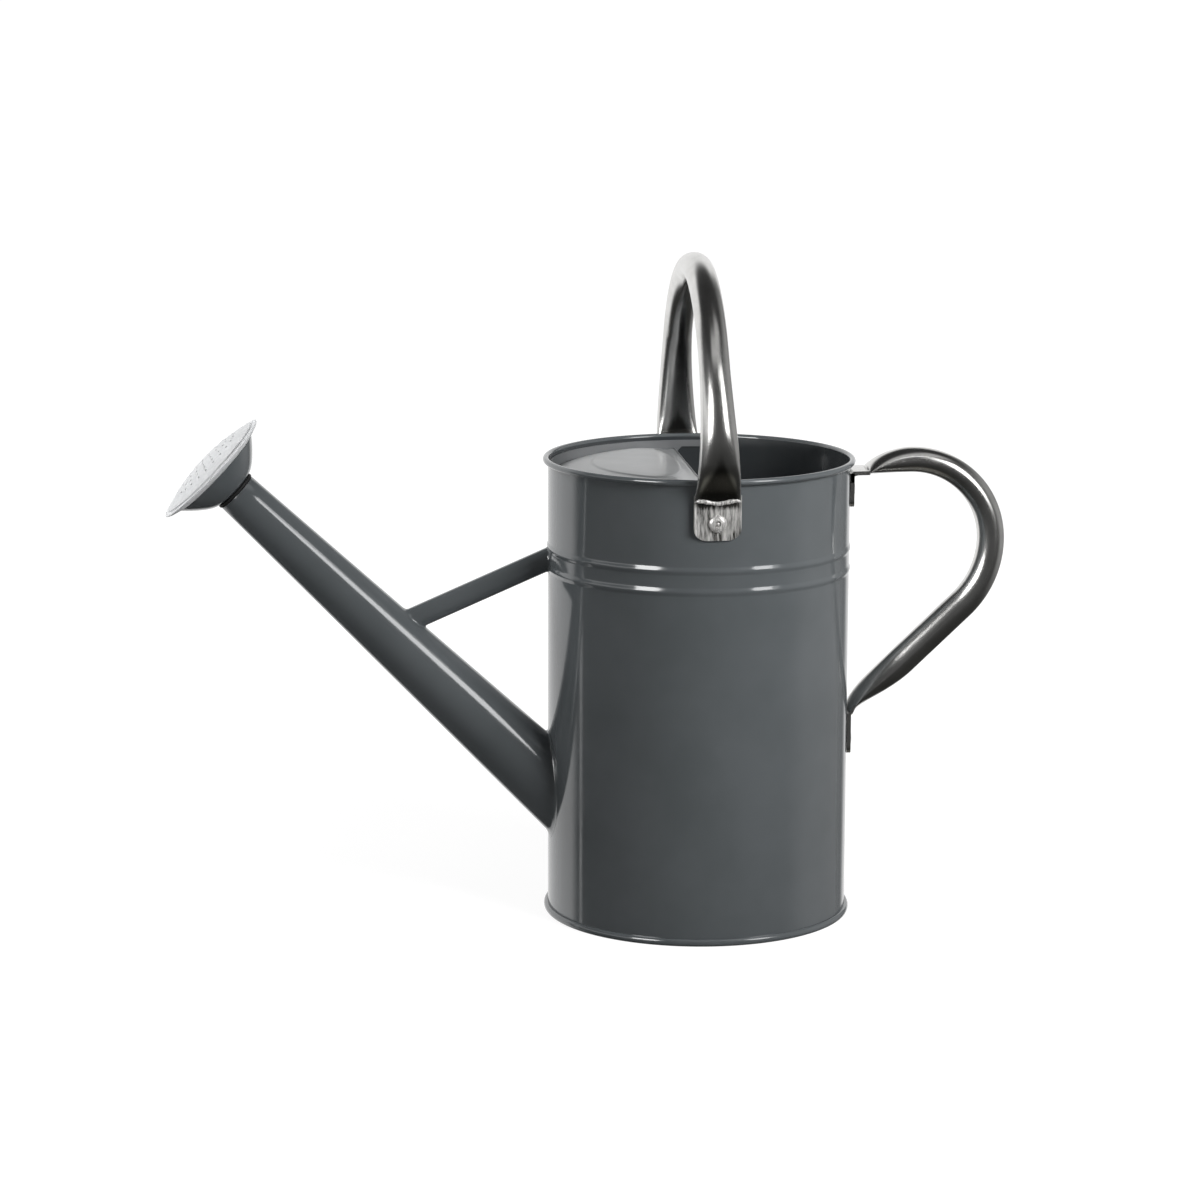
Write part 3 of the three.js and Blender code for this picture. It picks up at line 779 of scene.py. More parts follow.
@dataclass
class CanBody:
    """The can's wall with its ribs and rolled rim, and the base seamed to its foot.

    Attributes:
        radius: Radius of the wall's outer face.
        height: Height of the rim's top.
        sheet: Thickness of the steel.
        rib_height: How far a rib stands out.
        rib_width: How tall a rib is.
        ribs: Heights of the two ribs' middles.
        curl: Radius of the rolled rim's outer face.
        curl_slot: Gap between the curl's edge and the wall.
        foot: Height at which the wall's foot starts, inside the seam.
        seam_height: How tall the base seam is.
        seam_reach: How far the seam stands out from the wall.
        base_rise: Height of the recessed base.
        facets: Steps round the can.
    """

    radius: float = WALL
    height: float = 246.0
    sheet: float = SHEET
    rib_height: float = 0.55
    rib_width: float = 5.2
    ribs: Pair = (187.3, 198.3)
    curl: float = 1.65
    curl_slot: float = 0.3
    foot: float = 0.9
    seam_height: float = 3.7
    seam_reach: float = 2.1
    base_rise: float = 5.0
    facets: int = 256

    def rib(self, middle: float) -> Array:
        """Outline of a rib: the wall's radius plus its height times a squared sine.

        Args:
            middle: Height of its middle.

        Returns:
            Points of radius and height.
        """
        share = np.linspace(0.0, 1.0, 15)
        out = self.rib_height * np.sin(math.pi * share) ** 2
        return np.stack([self.radius + out, middle + self.rib_width * (share - 0.5)], 1)

    def outline(self) -> Array:
        """The wall's outer face from its foot to where the rim starts to roll.

        Returns:
            Points of radius and height.
        """
        low_edge, high_edge = self.ribs[0] - self.rib_width, self.ribs[1] + self.rib_width
        curl_height = self.height - self.curl
        straight = [
            np.linspace(self.foot, low_edge, 36),
            np.linspace(high_edge, curl_height, 8)[:-1],
        ]
        below, above = (np.stack([np.full(len(h), self.radius), h], 1) for h in straight)
        return np.concatenate([below, self.rib(self.ribs[0]), self.rib(self.ribs[1]), above])

    def wall_profile(self) -> Array:
        """The wall's closed outline: up its outer face, round the curl and down its inner face.

        Returns:
            Points of radius and height.
        """
        inner = self.curl - self.sheet
        centre = (self.radius + inner, self.height - self.curl)
        slot = self.radius + self.curl_slot - centre[0]
        hidden = arc(inner, centre, math.pi, -math.acos(slot / inner), 14)
        shown = arc(self.curl, centre, -math.acos(slot / self.curl), math.pi, 30)
        outline = self.outline()
        inside = outline[::-1] - [self.sheet, 0.0]
        return np.concatenate([outline, hidden, shown, inside])

    def spout_bore(self, spout: "Spout") -> Mesh:
        """The tool that opens the wall into the spout: a rod on the spout's axis.

        Args:
            spout: The spout.

        Returns:
            The closed mesh of the rod.
        """
        reach, behind, ahead = spout.root_radius - 1.2, -30.0, 8.0
        ring = np.array([[0.0, behind], [reach, behind], [reach, ahead], [0.0, ahead]])
        grid = spout.seat().place(revolved(ring, 72))
        return Skin("bore").add(grid, loop_columns=True).mesh()

    def inside(self, wall: Mesh) -> Array:
        """Which of the wall's faces lie inside the can, for the darker inner paint that is painted shade.

        A face does if its middle is nearer the axis than the middle of the sheet, and below the rim.

        Args:
            wall: The wall's mesh.

        Returns:
            1 for each face inside and 0 for each other.
        """
        axis = can_axis() / MM
        flat = np.empty(len(wall.polygons) * 3)
        wall.polygons.foreach_get("center", flat)
        middle = flat.reshape(-1, 3) / MM
        reach = np.hypot(middle[:, 0] - axis[0], middle[:, 1] - axis[1])
        below = middle[:, 2] < self.height - self.curl
        return ((reach < self.radius - self.sheet / 2) & below).astype(np.int32)

    def seam_profile(self) -> Array:
        """The base's outline: its raised disc, its fold and the rounded bead outside the wall.

        Returns:
            Points of radius and height.
        """
        skirt = self.radius - self.sheet - 0.3
        inner_bend, outer_bend, bead_reach = 1.2, 1.8, 1.5
        bend = (skirt - outer_bend, self.base_rise - outer_bend)
        half = self.seam_height / 2
        angle = np.linspace(-math.pi / 2, math.pi / 2, 19)
        bulge = np.abs(np.cos(angle)) ** 0.75
        middle = self.radius + self.seam_reach - bead_reach
        bead = np.stack([middle + bead_reach * bulge, half + half * np.sin(angle)], 1)
        return np.concatenate([
            [[0.0, self.base_rise - self.sheet]],
            [[skirt - 3.0, self.base_rise - self.sheet]],
            arc(inner_bend, bend, math.pi / 2, 0.0, 5),
            [[skirt - self.sheet, 0.4], [skirt - 0.2, 0.0]],
            bead,
            [[self.radius + 0.1, self.seam_height], [self.radius + 0.1, 1.2], [skirt, 1.2]],
            arc(outer_bend, bend, 0.0, math.pi / 2, 6),
            [[0.0, self.base_rise]],
        ])

    def build(self, finishes: Finishes, spout: "Spout") -> None:
        """Makes the wall and the base.

        Args:
            finishes: The can's materials.
            spout: The spout, whose bore opens the wall.
        """
        shell = revolved(self.wall_profile(), self.facets)
        wall = Skin("can_wall").add(shell, loop_rows=True, loop_columns=True).mesh(50)
        wall = cut(wall, [self.spout_bore(spout)], 50)
        settle(wall, Body.CAN, finishes.enamel, ("body_shell",))
        # Painted shade: faces inside the can take the darker inner paint.
        wall.materials.append(finishes.inner)
        wall.polygons.foreach_set("material_index", self.inside(wall))
        base = Skin("base_seam").add(revolved(self.seam_profile(), self.facets), loop_columns=True).mesh(50)
        settle(base, Body.CAN, finishes.enamel, ("base_plate",))


@dataclass
class HalfLid:
    """The half lid: a slope from the wall up to a D-shaped crown, a hem, and a skirt with ears.

    Attributes:
        radius: Radius of its skirt's outer face.
        sheet: Thickness of the steel.
        low: Height of its edge at the wall.
        hem_height: Height of its hem.
        crown_height: Height of the crown's edge.
        crown_rise: How much the crown swells above its edge.
        step: How high the sharp step round the crown is.
        chord: Distance of its straight edge from the can's middle.
        crown_radius: Radius of the crown's round side.
        crown_side: Distance of the crown's straight side from the can's middle.
        corner_power: How sharp the crown's corners are: more is sharper.
        skirt_top: Height of the skirt's top.
        ear: How far the skirt runs on past the straight edge.
        ear_low: Height of an ear's lower edge.
        middle: Where the crown's middle lies along X.
        fold: Radius of the hem's fold.
        columns: Steps round its outline.
    """

    radius: float = 79.1
    sheet: float = SHEET
    low: float = 236.6
    hem_height: float = 238.0
    crown_height: float = 242.3
    crown_rise: float = 0.45
    step: float = 0.75
    chord: float = 3.6
    crown_radius: float = 56.0
    crown_side: float = 10.5
    corner_power: float = 2.0
    skirt_top: float = 242.6
    ear: float = 27.0
    ear_low: float = 239.0
    middle: float = -33.0
    fold: float = 0.75
    columns: int = 240

    def edge_loop(self) -> Array:
        """The lid's outline: half a circle and its chord, with evenly spread points.

        Returns:
            Its points in the plane, one for each column.
        """
        half = math.acos(-self.chord / self.radius)
        steps = self.columns * 2 // 3
        rim = arc(self.radius, (0.0, 0.0), half, TURN - half, steps)[:-1]
        share = np.linspace(0.0, 1.0, self.columns - steps, endpoint=False)[:, None]
        low, high = (np.array([-self.chord, side * self.radius * math.sin(half)]) for side in (-1, 1))
        return np.concatenate([rim, lerp(low, high, share)])

    def crown_loop(self) -> Array:
        """The crown's outline: each edge point drawn in along its ray to a rounded half disc.

        Its reach is the smooth least of the round side's radius and the straight side's distance.

        Returns:
            Its points in the plane, one for each column.
        """
        centre = np.array([self.middle, 0.0])
        way = unit(self.edge_loop() - centre)
        along = way @ centre
        to_round = -along + np.sqrt(along**2 - centre @ centre + self.crown_radius**2)
        to_side = (-self.crown_side - centre[0]) / np.maximum(way[:, 0], 1e-3)
        power = self.corner_power
        reach = (to_round**-power + np.minimum(to_side, 1e3) ** -power) ** (-1 / power)
        return centre + way * reach[:, None]

    def surface(self) -> Array:
        """The lid's upper face as loops from the crown's middle out to the edge.

        The crown swells by one less the squared share of the way out. Then come its sharp step
        and the slope to the edge, whose drop is a power of the share that is left.

        Returns:
            The grid of loops by columns.
        """
        step_share, step_reach, slope_reach = 0.4, 0.07, 0.93
        centre = np.array([self.middle, 0.0])
        crown, edge = self.crown_loop(), self.edge_loop()
        rows = []
        for share in np.linspace(0.0, 1.0, 15):
            flat = lerp(centre, crown, share)
            height = self.crown_height + self.step + self.crown_rise * (1 - share**2)
            rows.append(np.column_stack([flat, np.full(len(flat), height)]))
        chordal = eased((edge[:, 0] + self.chord + 6.0) / 5.5)
        foot = lerp(self.low, self.hem_height, chordal)
        for share in np.linspace(0.0, 1.0, 17):
            rest = np.clip((share - step_share) / (1.0 - step_share), 0.0, 1.0)
            reach = step_reach * min(share / step_share, 1.0) + slope_reach * rest
            drop = eased(share / step_share) * self.step
            flat = lerp(crown, edge, reach)
            steep = lerp(rest**1.8, 1.0 - (1.0 - rest) ** 1.5, chordal)
            height = lerp(self.crown_height + self.step - drop, foot, steep)
            rows.append(np.column_stack([flat, height]))
        return np.array(rows)

    def hem(self) -> Array:
        """The hem along the straight edge: a folded outline carried across the lid.

        Returns:
            The grid, whose rows loop.
        """
        reach = math.sqrt((self.radius - 0.7) ** 2 - self.chord**2)
        roll = arc(self.fold, (-self.chord, 0.0), math.pi / 2, -math.pi, 12)
        lip = [[-self.chord - self.fold, -1.6], [-self.chord + self.fold, -2.0]]
        outline = np.concatenate([roll, lip])[:, None]
        across = np.linspace(-reach, reach, 60)[None]
        height = outline[..., 1] + self.hem_height - self.sheet / 2
        return np.stack(np.broadcast_arrays(outline[..., 0], across, height), 2)

    def skirt(self, outer: bool) -> Array:
        """One face of the skirt: a strip of the wall's circle whose lower edge steps up at the ears.

        Args:
            outer: Whether it is the outer face.

        Returns:
            The grid of five rows.
        """
        radius = self.radius if outer else self.radius - self.sheet
        half = math.acos((self.ear - self.chord) / self.radius)
        angle = np.linspace(half, TURN - half, 181)
        past = eased((radius * np.cos(angle) + self.chord - 1.5) / 2.0)
        low = lerp(self.low - 2.0, self.ear_low, past)
        height = lerp(low, self.skirt_top, np.linspace(0.0, 1.0, 5)[:, None])
        across, deep = np.broadcast_arrays(radius * np.cos(angle), radius * np.sin(angle), height)[:2]
        return np.stack([across, deep, height], 2)

    def build(self, finishes: Finishes) -> None:
        """Makes the lid's plate with its hem, and the skirt.

        Args:
            finishes: The can's materials.
        """
        upper = self.surface()
        lower = upper - [0.0, 0.0, self.sheet]
        skin = Skin("half_lid").add(np.concatenate([upper, lower[::-1]]), loop_columns=True)
        skin.add(self.hem(), loop_rows=True)
        # The lid takes the lighter lid paint: painted sheen.
        settle(skin.mesh(35), Body.CAN, finishes.lid, ("top_cover",))
        skirt = Skin("lid_skirt").add_slab(self.skirt(True), self.skirt(False))
        # The skirt takes the lighter dull paint: painted light.
        settle(skirt.mesh(35), Body.CAN, finishes.dull, ())


@dataclass
class Spout:
    """The coned spout, with the fillet of solder and paint where it meets the wall.

    Attributes:
        wall: Radius of the can's wall.
        root_height: Height at which its axis leaves the wall.
        angle: Its angle above level, in degrees.
        length: Its length along the axis.
        root_radius: Its radius at the wall.
        tip_radius: Its radius at the tip.
        sheet: Thickness of the steel.
        fillet: How far the fillet runs along the wall and the spout.
        lump: How uneven the fillet's surface is.
        facets: Steps round it.
    """

    wall: float = WALL
    root_height: float = 71.2
    angle: float = 44.1
    length: float = 228.2
    root_radius: float = 19.3
    tip_radius: float = 11.3
    sheet: float = SHEET
    fillet: float = 2.4
    lump: float = 0.3
    facets: int = 96

    def seat(self) -> Seat:
        """The spout's own frame.

        Returns:
            The frame, whose Z runs from the wall to the rose and X up and towards the can.
        """
        level, rise = math.cos(math.radians(self.angle)), math.sin(math.radians(self.angle))
        root = (-self.wall, 0.0, self.root_height)
        return Seat(root, (rise, 0.0, level), (0.0, 1.0, 0.0), (-level, 0.0, rise))

    def radius_at(self, along: Array) -> Array:
        """The outer radius at a distance along the axis."""
        return lerp(self.root_radius, self.tip_radius, along / self.length)

    def meeting(self, wall: float, extra: float) -> tuple[Array, Array]:
        """Where the cone, moved outwards, meets a cylinder about the can's axis.

        The distance along each line of the cone solves the square of x plus the square of y
        equal to the square of the cylinder's radius.

        Args:
            wall: The cylinder's radius.
            extra: How far the cone is moved outwards.

        Returns:
            For each line of the cone its distance along the axis, and the meeting point.
        """
        turn = turns(self.facets)
        seat = self.seat()
        right, up = np.array(seat.right), np.array(seat.up)
        taper = (self.tip_radius - self.root_radius) / self.length
        start = self.root_radius + extra
        x0 = seat.origin[0] + start * np.cos(turn) * right[0]
        x1 = up[0] + taper * np.cos(turn) * right[0]
        y0, y1 = start * np.sin(turn), taper * np.sin(turn)
        a, b, c = x1**2 + y1**2, x0 * x1 + y0 * y1, x0**2 + y0**2 - wall**2
        along = (-b + np.sqrt(b**2 - a * c)) / a
        return along, self.on_cone(along, extra)

    def on_cone(self, along: Array, extra: float = 0.0) -> Array:
        """Points on the lines of the cone.

        Args:
            along: The distance along the axis, for all lines or for each.
            extra: How far the cone is moved outwards.

        Returns:
            One point on each line.
        """
        turn = turns(self.facets)
        radius = self.radius_at(along) + extra
        ring = np.stack([radius * np.cos(turn), radius * np.sin(turn), along + 0 * turn], -1)
        return self.seat().place(ring)

    def build(self, finishes: Finishes) -> None:
        """Makes the spout: fillet, cone, rounded tip and bore.

        Args:
            finishes: The can's materials.
        """
        root, corner = self.meeting(self.wall, 0.0)
        _, spread = self.meeting(self.wall + 0.05, self.fillet)
        start = self.on_cone(root + self.fillet)
        tip = self.length - 0.3
        rows = []
        turn = turns(self.facets)
        lump = self.lump * np.sin(5 * turn + 1) * np.sin(11 * turn)
        _, bulge = self.meeting(self.wall, 0.35)
        for share in np.linspace(0.0, 1.0, 9)[:-1]:
            row = bent(spread, corner, start, share)
            rows.append(row + (bulge - corner) * (lump * 8 * share * (1 - share))[:, None])
        for share in np.linspace(0.0, 1.0, 26):
            rows.append(self.on_cone(lerp(root + self.fillet, tip, share)))
        edge = np.full(self.facets, self.length)
        rows += [self.on_cone(edge, -0.15), self.on_cone(edge, 0.15 - self.sheet)]
        inner_root, _ = self.meeting(self.wall - 1.0, -self.sheet)
        for share in np.linspace(1.0, 0.0, 12):
            rows.append(self.on_cone(lerp(inner_root, tip, share), -self.sheet))
        skin = Skin("spout_cone").add(np.array(rows), loop_rows=True, loop_columns=True)
        settle(skin.mesh(40), Body.CAN, finishes.enamel, ("spout_tube",))


@dataclass
class Brace:
    """The straight tube between the wall and the spout, with a fillet at each end.

    Attributes:
        radius: Its outer radius.
        height: Height at which its axis meets the wall.
        angle: How far it falls from the wall, in degrees from level.
        fillet: How far its fillets run.
        thickness: Thickness of its wall.
        lift: How far a fillet's edge stands off what it lies on.
        facets: Steps round it.
    """

    radius: float = 6.0
    height: float = 191.9
    angle: float = 23.4
    fillet: float = 1.8
    thickness: float = 0.9
    lift: float = 0.05
    facets: int = 48

    def lines(self, radius: float) -> tuple[Array, Array]:
        """The lines along a tube about the brace's axis.

        Args:
            radius: The tube's radius.

        Returns:
            A start point for each line, and the direction of all of them.
        """
        turn = turns(self.facets)
        fall = math.radians(self.angle)
        way = np.array([-math.cos(fall), 0.0, -math.sin(fall)])
        up = np.array([-math.sin(fall), 0.0, math.cos(fall)])
        start = np.array([-WALL, 0.0, self.height])
        side = np.array([0.0, 1.0, 0.0])
        return start + radius * (np.cos(turn)[:, None] * up + np.sin(turn)[:, None] * side), way

    def to_wall(self, radius: float, wall: float) -> Array:
        """Distance along each line to the wall, where x squared plus y squared is its radius squared.

        Args:
            radius: Radius of the tube that is cut.
            wall: Radius of the wall.

        Returns:
            The distance for each line.
        """
        start, way = self.lines(radius)
        a, b = way[0] ** 2, start[:, 0] * way[0]
        c = start[:, 0] ** 2 + start[:, 1] ** 2 - wall**2
        return (-b + np.sqrt(b**2 - a * c)) / a

    def to_spout(self, radius: float, spout: Spout, extra: float) -> Array:
        """Distance along each line to the spout's cone.

        The squared distance from the spout's axis equals the squared radius of the cone there.

        Args:
            radius: Radius of the tube that is cut.
            spout: The spout.
            extra: How far the cone is moved outwards.

        Returns:
            The nearer of the two crossings for each line.
        """
        start, way = self.lines(radius)
        seat = spout.seat()
        basis = np.array([seat.right, seat.back, seat.up]).T
        p, d = (start - np.array(seat.origin)) @ basis, way @ basis
        taper = (spout.tip_radius - spout.root_radius) / spout.length
        r0 = spout.root_radius + extra + taper * p[:, 2]
        a = d[0] ** 2 + d[1] ** 2 - (taper * d[2]) ** 2
        b = p[:, 0] * d[0] + p[:, 1] * d[1] - taper * d[2] * r0
        c = p[:, 0] ** 2 + p[:, 1] ** 2 - r0**2
        return (-b - np.sqrt(np.maximum(b**2 - a * c, 0.0))) / a

    def fillet_rows(self, foot: Array, end: Array, run: float) -> list[Array]:
        """Rows of a fillet, from its edge on the wall or the spout to where it ends on the tube.

        Args:
            foot: Distance to the fillet's edge along each line of the widened tube.
            end: Distance to the wall or the spout along each line of the tube.
            run: How far the fillet runs from there along the tube, less than 0 if backwards.

        Returns:
            The rows, each with a point for every line.
        """
        start, way = self.lines(self.radius)
        flared, _ = self.lines(self.radius + self.fillet)
        edge = flared + foot[:, None] * way
        corner, leave = start + end[:, None] * way, start + (end + run)[:, None] * way
        return [bent(edge, corner, leave, share) for share in np.linspace(0.0, 1.0, 8)]

    def build(self, finishes: Finishes, spout: Spout) -> None:
        """Makes the brace.

        Args:
            finishes: The can's materials.
            spout: The spout it stands on.
        """
        wide, hollow = self.radius + self.fillet, self.radius - self.thickness
        at_wall = self.fillet_rows(
            self.to_wall(wide, WALL + self.lift), self.to_wall(self.radius, WALL), self.fillet
        )
        at_spout = self.fillet_rows(
            self.to_spout(wide, spout, self.lift), self.to_spout(self.radius, spout, 0.0), -self.fillet
        )
        rows = at_wall[:-1]
        rows += [lerp(at_wall[-1], at_spout[-1], share) for share in np.linspace(0.0, 1.0, 14)]
        rows += at_spout[-2::-1]
        bore, way = self.lines(hollow)
        for end in (self.to_spout(hollow, spout, -0.2), self.to_wall(hollow, WALL - 0.2)):
            rows.append(bore + end[:, None] * way)
        skin = Skin("brace_rod").add(np.array(rows), loop_rows=True, loop_columns=True)
        settle(skin.mesh(40), Body.CAN, finishes.enamel, ("brace_tube",))


@dataclass
class Tube:
    """A bent tube: a path with a section that changes along it.

    Attributes:
        centre: Points of the path.
        side: Direction across the tube at each point.
        out: Direction out of the bend at each point.
        wide: Half its width across at each point.
        front: Its reach on the outer side.
        rear: Its reach on the inner side.
        square: How square the section is on its outer side: 2 is an ellipse, more is squarer.
        rear_square: The same for its inner side.
        keen: How keen its side edges are: 1 is rounded, 2 comes to an edge.
        dent: How deep the outer side is pressed in along its middle.
        dent_power: How narrow the dent is: more is narrower.
        wrap: How far the edges of the section bend back.
        wall: Thickness of the tube's wall.
        facets: Steps round it.
    """

    centre: Array
    side: Array
    out: Array
    wide: Array
    front: Array
    rear: Array
    square: Array
    rear_square: Array
    keen: Array
    dent: Array
    dent_power: Array
    wrap: Array
    wall: float = 1.0
    facets: int = 72

    def section(self) -> tuple[Array, Array]:
        """The section's points at each station: a squared ellipse, dented and wrapped.

        Across and depth are the signed powers of cosine and sine of the angle, times the half
        sizes. The outer side loses the dent times a power of one less the squared share across.

        Returns:
            The distances across and out, each as stations by facets.
        """
        angle = turns(self.facets)
        cos, sin = np.cos(angle)[None], np.sin(angle)[None]
        power = np.where(sin > 0, 2.0 / self.square[:, None], 2.0 / self.rear_square[:, None])
        share = np.sign(cos) * np.abs(cos) ** power
        rise = np.sign(sin) * np.abs(sin) ** (power * self.keen[:, None])
        depth = np.where(rise > 0, self.front[:, None], self.rear[:, None]) * rise
        hollow = np.maximum(1 - share**2, 0.0) ** self.dent_power[:, None]
        depth = depth - np.where(rise > 0, self.dent[:, None] * hollow, 0.0)
        across = self.wide[:, None] * share
        return across, depth - self.wrap[:, None] * across**2

    def inset(self, across: Array, depth: Array) -> tuple[Array, Array]:
        """The same section moved in by the wall along its own normals.

        Args:
            across: Its distances across.
            depth: Its distances out.

        Returns:
            The moved distances across and out.
        """
        step_across = np.roll(across, -1, 1) - np.roll(across, 1, 1)
        step_depth = np.roll(depth, -1, 1) - np.roll(depth, 1, 1)
        length = np.maximum(np.hypot(step_across, step_depth), 1e-9)
        return across - self.wall * step_depth / length, depth + self.wall * step_across / length

    def placed(self, across: Array, depth: Array) -> Array:
        """Section points in the can's frame: each centre plus its two directions times the distances."""
        sideways = self.side[:, None] * across[..., None]
        return self.centre[:, None] + sideways + self.out[:, None] * depth[..., None]

    def grids(self) -> tuple[Array, Array]:
        """The outer and inner grid of the tube."""
        across, depth = self.section()
        return self.placed(across, depth), self.placed(*self.inset(across, depth))


def wall_tab(
    width: float, low: float, high: float, corner: float, inside: float, outside: float, lip: float
) -> tuple[Array, Array]:
    """A tab that lies round the wall, seen from its own front, with raised side edges.

    Each row is a stretch of the circle about the can's axis. Its half width shrinks by a
    quarter circle towards the lower corners, and its outer face rises by the lip at its sides.

    Args:
        width: Its width.
        low: Height of its lower edge.
        high: Height of its upper edge.
        corner: Radius of its lower corners.
        inside: Radius of its inner face.
        outside: Radius of its outer face.
        lip: How far its side edges rise.

    Returns:
        The outer and inner grids, facing -Y.
    """
    fall = corner * (1 - np.cos(np.linspace(0, math.pi / 2, 10)))
    height = np.concatenate([low + fall, np.linspace(low + corner, high, 14)[1:]])
    short = np.clip(low + corner - height, 0.0, corner)
    half = width / 2 - corner + np.sqrt(corner**2 - short**2)
    share = np.sin(np.linspace(-math.pi / 2, math.pi / 2, 33))
    across = half[:, None] * share[None]
    raised = lip * eased((np.abs(across) - (width / 2 - 2.6)) / 2.2)
    rows = np.broadcast_to(height[:, None], across.shape)
    outer, inner = (
        np.stack([across, -np.sqrt((radius + raised) ** 2 - across**2), rows], 2)
        for radius in (outside, inside)
    )
    return outer, inner


@dataclass
class Bail:
    """The bail over the top: bent tube with pressed feet, cut at a lip and carried on as tabs.

    Attributes:
        offset: Its distance from the can's middle along X.
        arc_radius: Radius of its bend to the tube's middle.
        arc_height: Height of the bend's centre.
        tube: Radius of the tube.
        tube_width: Half its width across, where it is bent.
        lean: How far its top stands nearer to the spout.
        skew: How much more the near side does so than the far side.
        lean_start: Height at which it starts to lean.
        lean_span: The height over which the lean grows.
        flat_start: Height at which the tube starts to flatten.
        lip_height: Height of the cut lip.
        foot_width: Width of the pressed foot.
        foot_reach: Distance of the foot's middle plane from the can's axis.
        tab_low: Height of the tab's lower edge.
        tab_run: How far the tab runs up behind the lip.
        tab_corner: Radius of the tab's lower corners.
        tab_lip: How far the tab's side edges rise.
        dish_start: Height at which the outer side starts to turn from round to dished.
        fronts: Reach of the outer side at the lip, undished and dished.
        dent: How deep the dish is.
        lip_wave: How far the cut edge rises in its two arches.
        bead: Half the thickness and half the height of the rolled edge along the lip.
        inner_face: Heights and distances from the can's axis of the leg's inner face.
    """

    offset: float = -1.0
    arc_radius: float = 90.0
    arc_height: float = 256.0
    tube: float = 7.5
    tube_width: float = 7.95
    lean: float = 1.35
    skew: float = 0.35
    lean_start: float = 240.0
    lean_span: float = 70.0
    flat_start: float = 302.0
    lip_height: float = 234.0
    foot_width: float = 24.6
    foot_reach: float = 81.7
    tab_low: float = 214.6
    tab_run: float = 4.0
    tab_corner: float = 6.5
    tab_lip: float = 1.5
    dish_start: float = 274.0
    fronts: Pair = (6.9, 3.4)
    dent: float = 2.3
    lip_wave: float = 1.5
    bead: Pair = (0.8, 1.1)
    inner_face: tuple[Pair, ...] = (
        (234.0, 80.45), (239.0, 80.6), (242.5, 82.3), (247.0, 82.8), (256.0, 82.6), (270.0, 81.4),
        (285.0, 77.7), (302.0, 69.9),
    )

    def path(self) -> tuple[Array, Array, Array]:
        """The bail's line from its near lip over the top to its far lip.

        Returns:
            Its points, its outward directions and the height at each point.
        """
        down = np.sin(np.linspace(math.pi / 2, 0.0, 30))[:-1]
        height = lerp(self.arc_height, self.lip_height, down)
        reach = lerp(self.arc_radius, self.foot_reach, eased(down * 0.94) / eased(0.94))
        leg = np.stack([np.zeros_like(reach), -reach, height], 1)
        turn = np.linspace(math.pi, 0.0, 97)
        over = self.arc_height + self.arc_radius * np.sin(turn)
        bend = np.stack([np.zeros_like(turn), self.arc_radius * np.cos(turn), over], 1)
        line = np.concatenate([leg, bend, (leg * [1, -1, 1])[::-1]])
        most = self.lean - self.skew * line[:, 1] / self.arc_radius
        lean = eased((line[:, 2] - self.lean_start) / self.lean_span) * most
        way = unit(np.gradient(line, axis=0))
        count = len(down)
        way[:count] = way[:count] * 0.3 + [0, 0, 0.7]
        way[-count:] = way[-count:] * 0.3 - [0, 0, 0.7]
        way = unit(way)
        out = np.stack([np.zeros(len(line)), -way[:, 2], way[:, 1]], 1)
        return line - lean[:, None] * [1.0, 0.0, 0.0], out, line[:, 2]

    def pipe(self) -> Tube:
        """The tube with its sections: round above, flat, wide and dented at the lip.

        The width grows as a power of the share by which the height has come down to the lip, and
        the outer side's depth, squareness and dent follow an eased share of their own.

        Returns:
            The tube.
        """
        line, out, height = self.path()
        pressed = np.clip((self.flat_start - height) / (self.flat_start - self.lip_height), 0.0, 1.0)
        flat = pressed**1.5
        late = eased((self.dish_start - height) / (self.dish_start - self.lip_height - 4.0))
        ones = np.ones(len(line))
        heights, reaches = np.array(self.inner_face).T
        rear = np.abs(line[:, 1]) - np.interp(height, heights, reaches)
        rear = np.where(height < self.flat_start, np.clip(rear, 1.2, self.tube), self.tube)
        return Tube(
            centre=line + [self.offset, 0.0, 0.0],
            side=np.broadcast_to([1.0, 0.0, 0.0], line.shape),
            out=out,
            wide=lerp(self.tube_width, self.foot_width / 2, flat),
            front=lerp(lerp(self.tube, self.fronts[0], pressed), self.fronts[1], late),
            rear=rear,
            square=lerp(2.0, 2.5, late) * ones,
            rear_square=lerp(2.0, 3.6, np.sqrt(pressed)) * ones,
            dent=self.dent * late,
            dent_power=lerp(3.0, 1.5, late) * ones,
            keen=ones,
            wrap=flat / (2 * WALL),
        )

    def lipped(self, grid: Array) -> Array:
        """The tube's grid with its cut ends finished.

        The outer side's edge rises in a wave of the sine of twice the angle, which fades with the
        exponential of the distance from the end.

        Args:
            grid: The tube's outer or inner grid.

        Returns:
            The grid with the wave.
        """
        line, _, _ = self.path()
        step = np.concatenate([[0.0], np.cumsum(np.linalg.norm(np.diff(line, axis=0), axis=1))])
        near = np.minimum(step, step[-1] - step)[:, None]
        angle = turns(grid.shape[1])[None]
        upper = np.clip(np.sin(angle) * 3, 0.0, 1.0)
        wave = self.lip_wave * np.abs(np.sin(2 * angle)) * upper * np.exp(-near / 4.0)
        return grid + np.array([0.0, 0.0, 1.0]) * wave[..., None]

    def lip_bead(self, outer: Array) -> Array:
        """The rolled edge along the near lip: an ellipse swept along the tube's first row.

        Its size follows the square root of the sine along the lip, so that it ends in points.

        Args:
            outer: The tube's outer grid.

        Returns:
            The grid, whose columns loop.
        """
        half = outer.shape[1] // 2
        edge = outer[0, :half + 1]
        share = np.linspace(0.0, 1.0, half + 1)
        size = np.sqrt(np.sin(math.pi * share) + 1e-9)[:, None]
        turn = turns(14)[None]
        lump = 1.0 + 0.18 * np.sin(share * 31.0)[:, None] * np.sin(share * 13.0)[:, None]
        reach = -size * self.bead[0] * np.cos(turn) * lump
        rise = size * self.bead[1] * np.sin(turn) * lump
        return edge[:, None] + np.stack([np.zeros_like(reach), reach - 0.2, rise], 2)

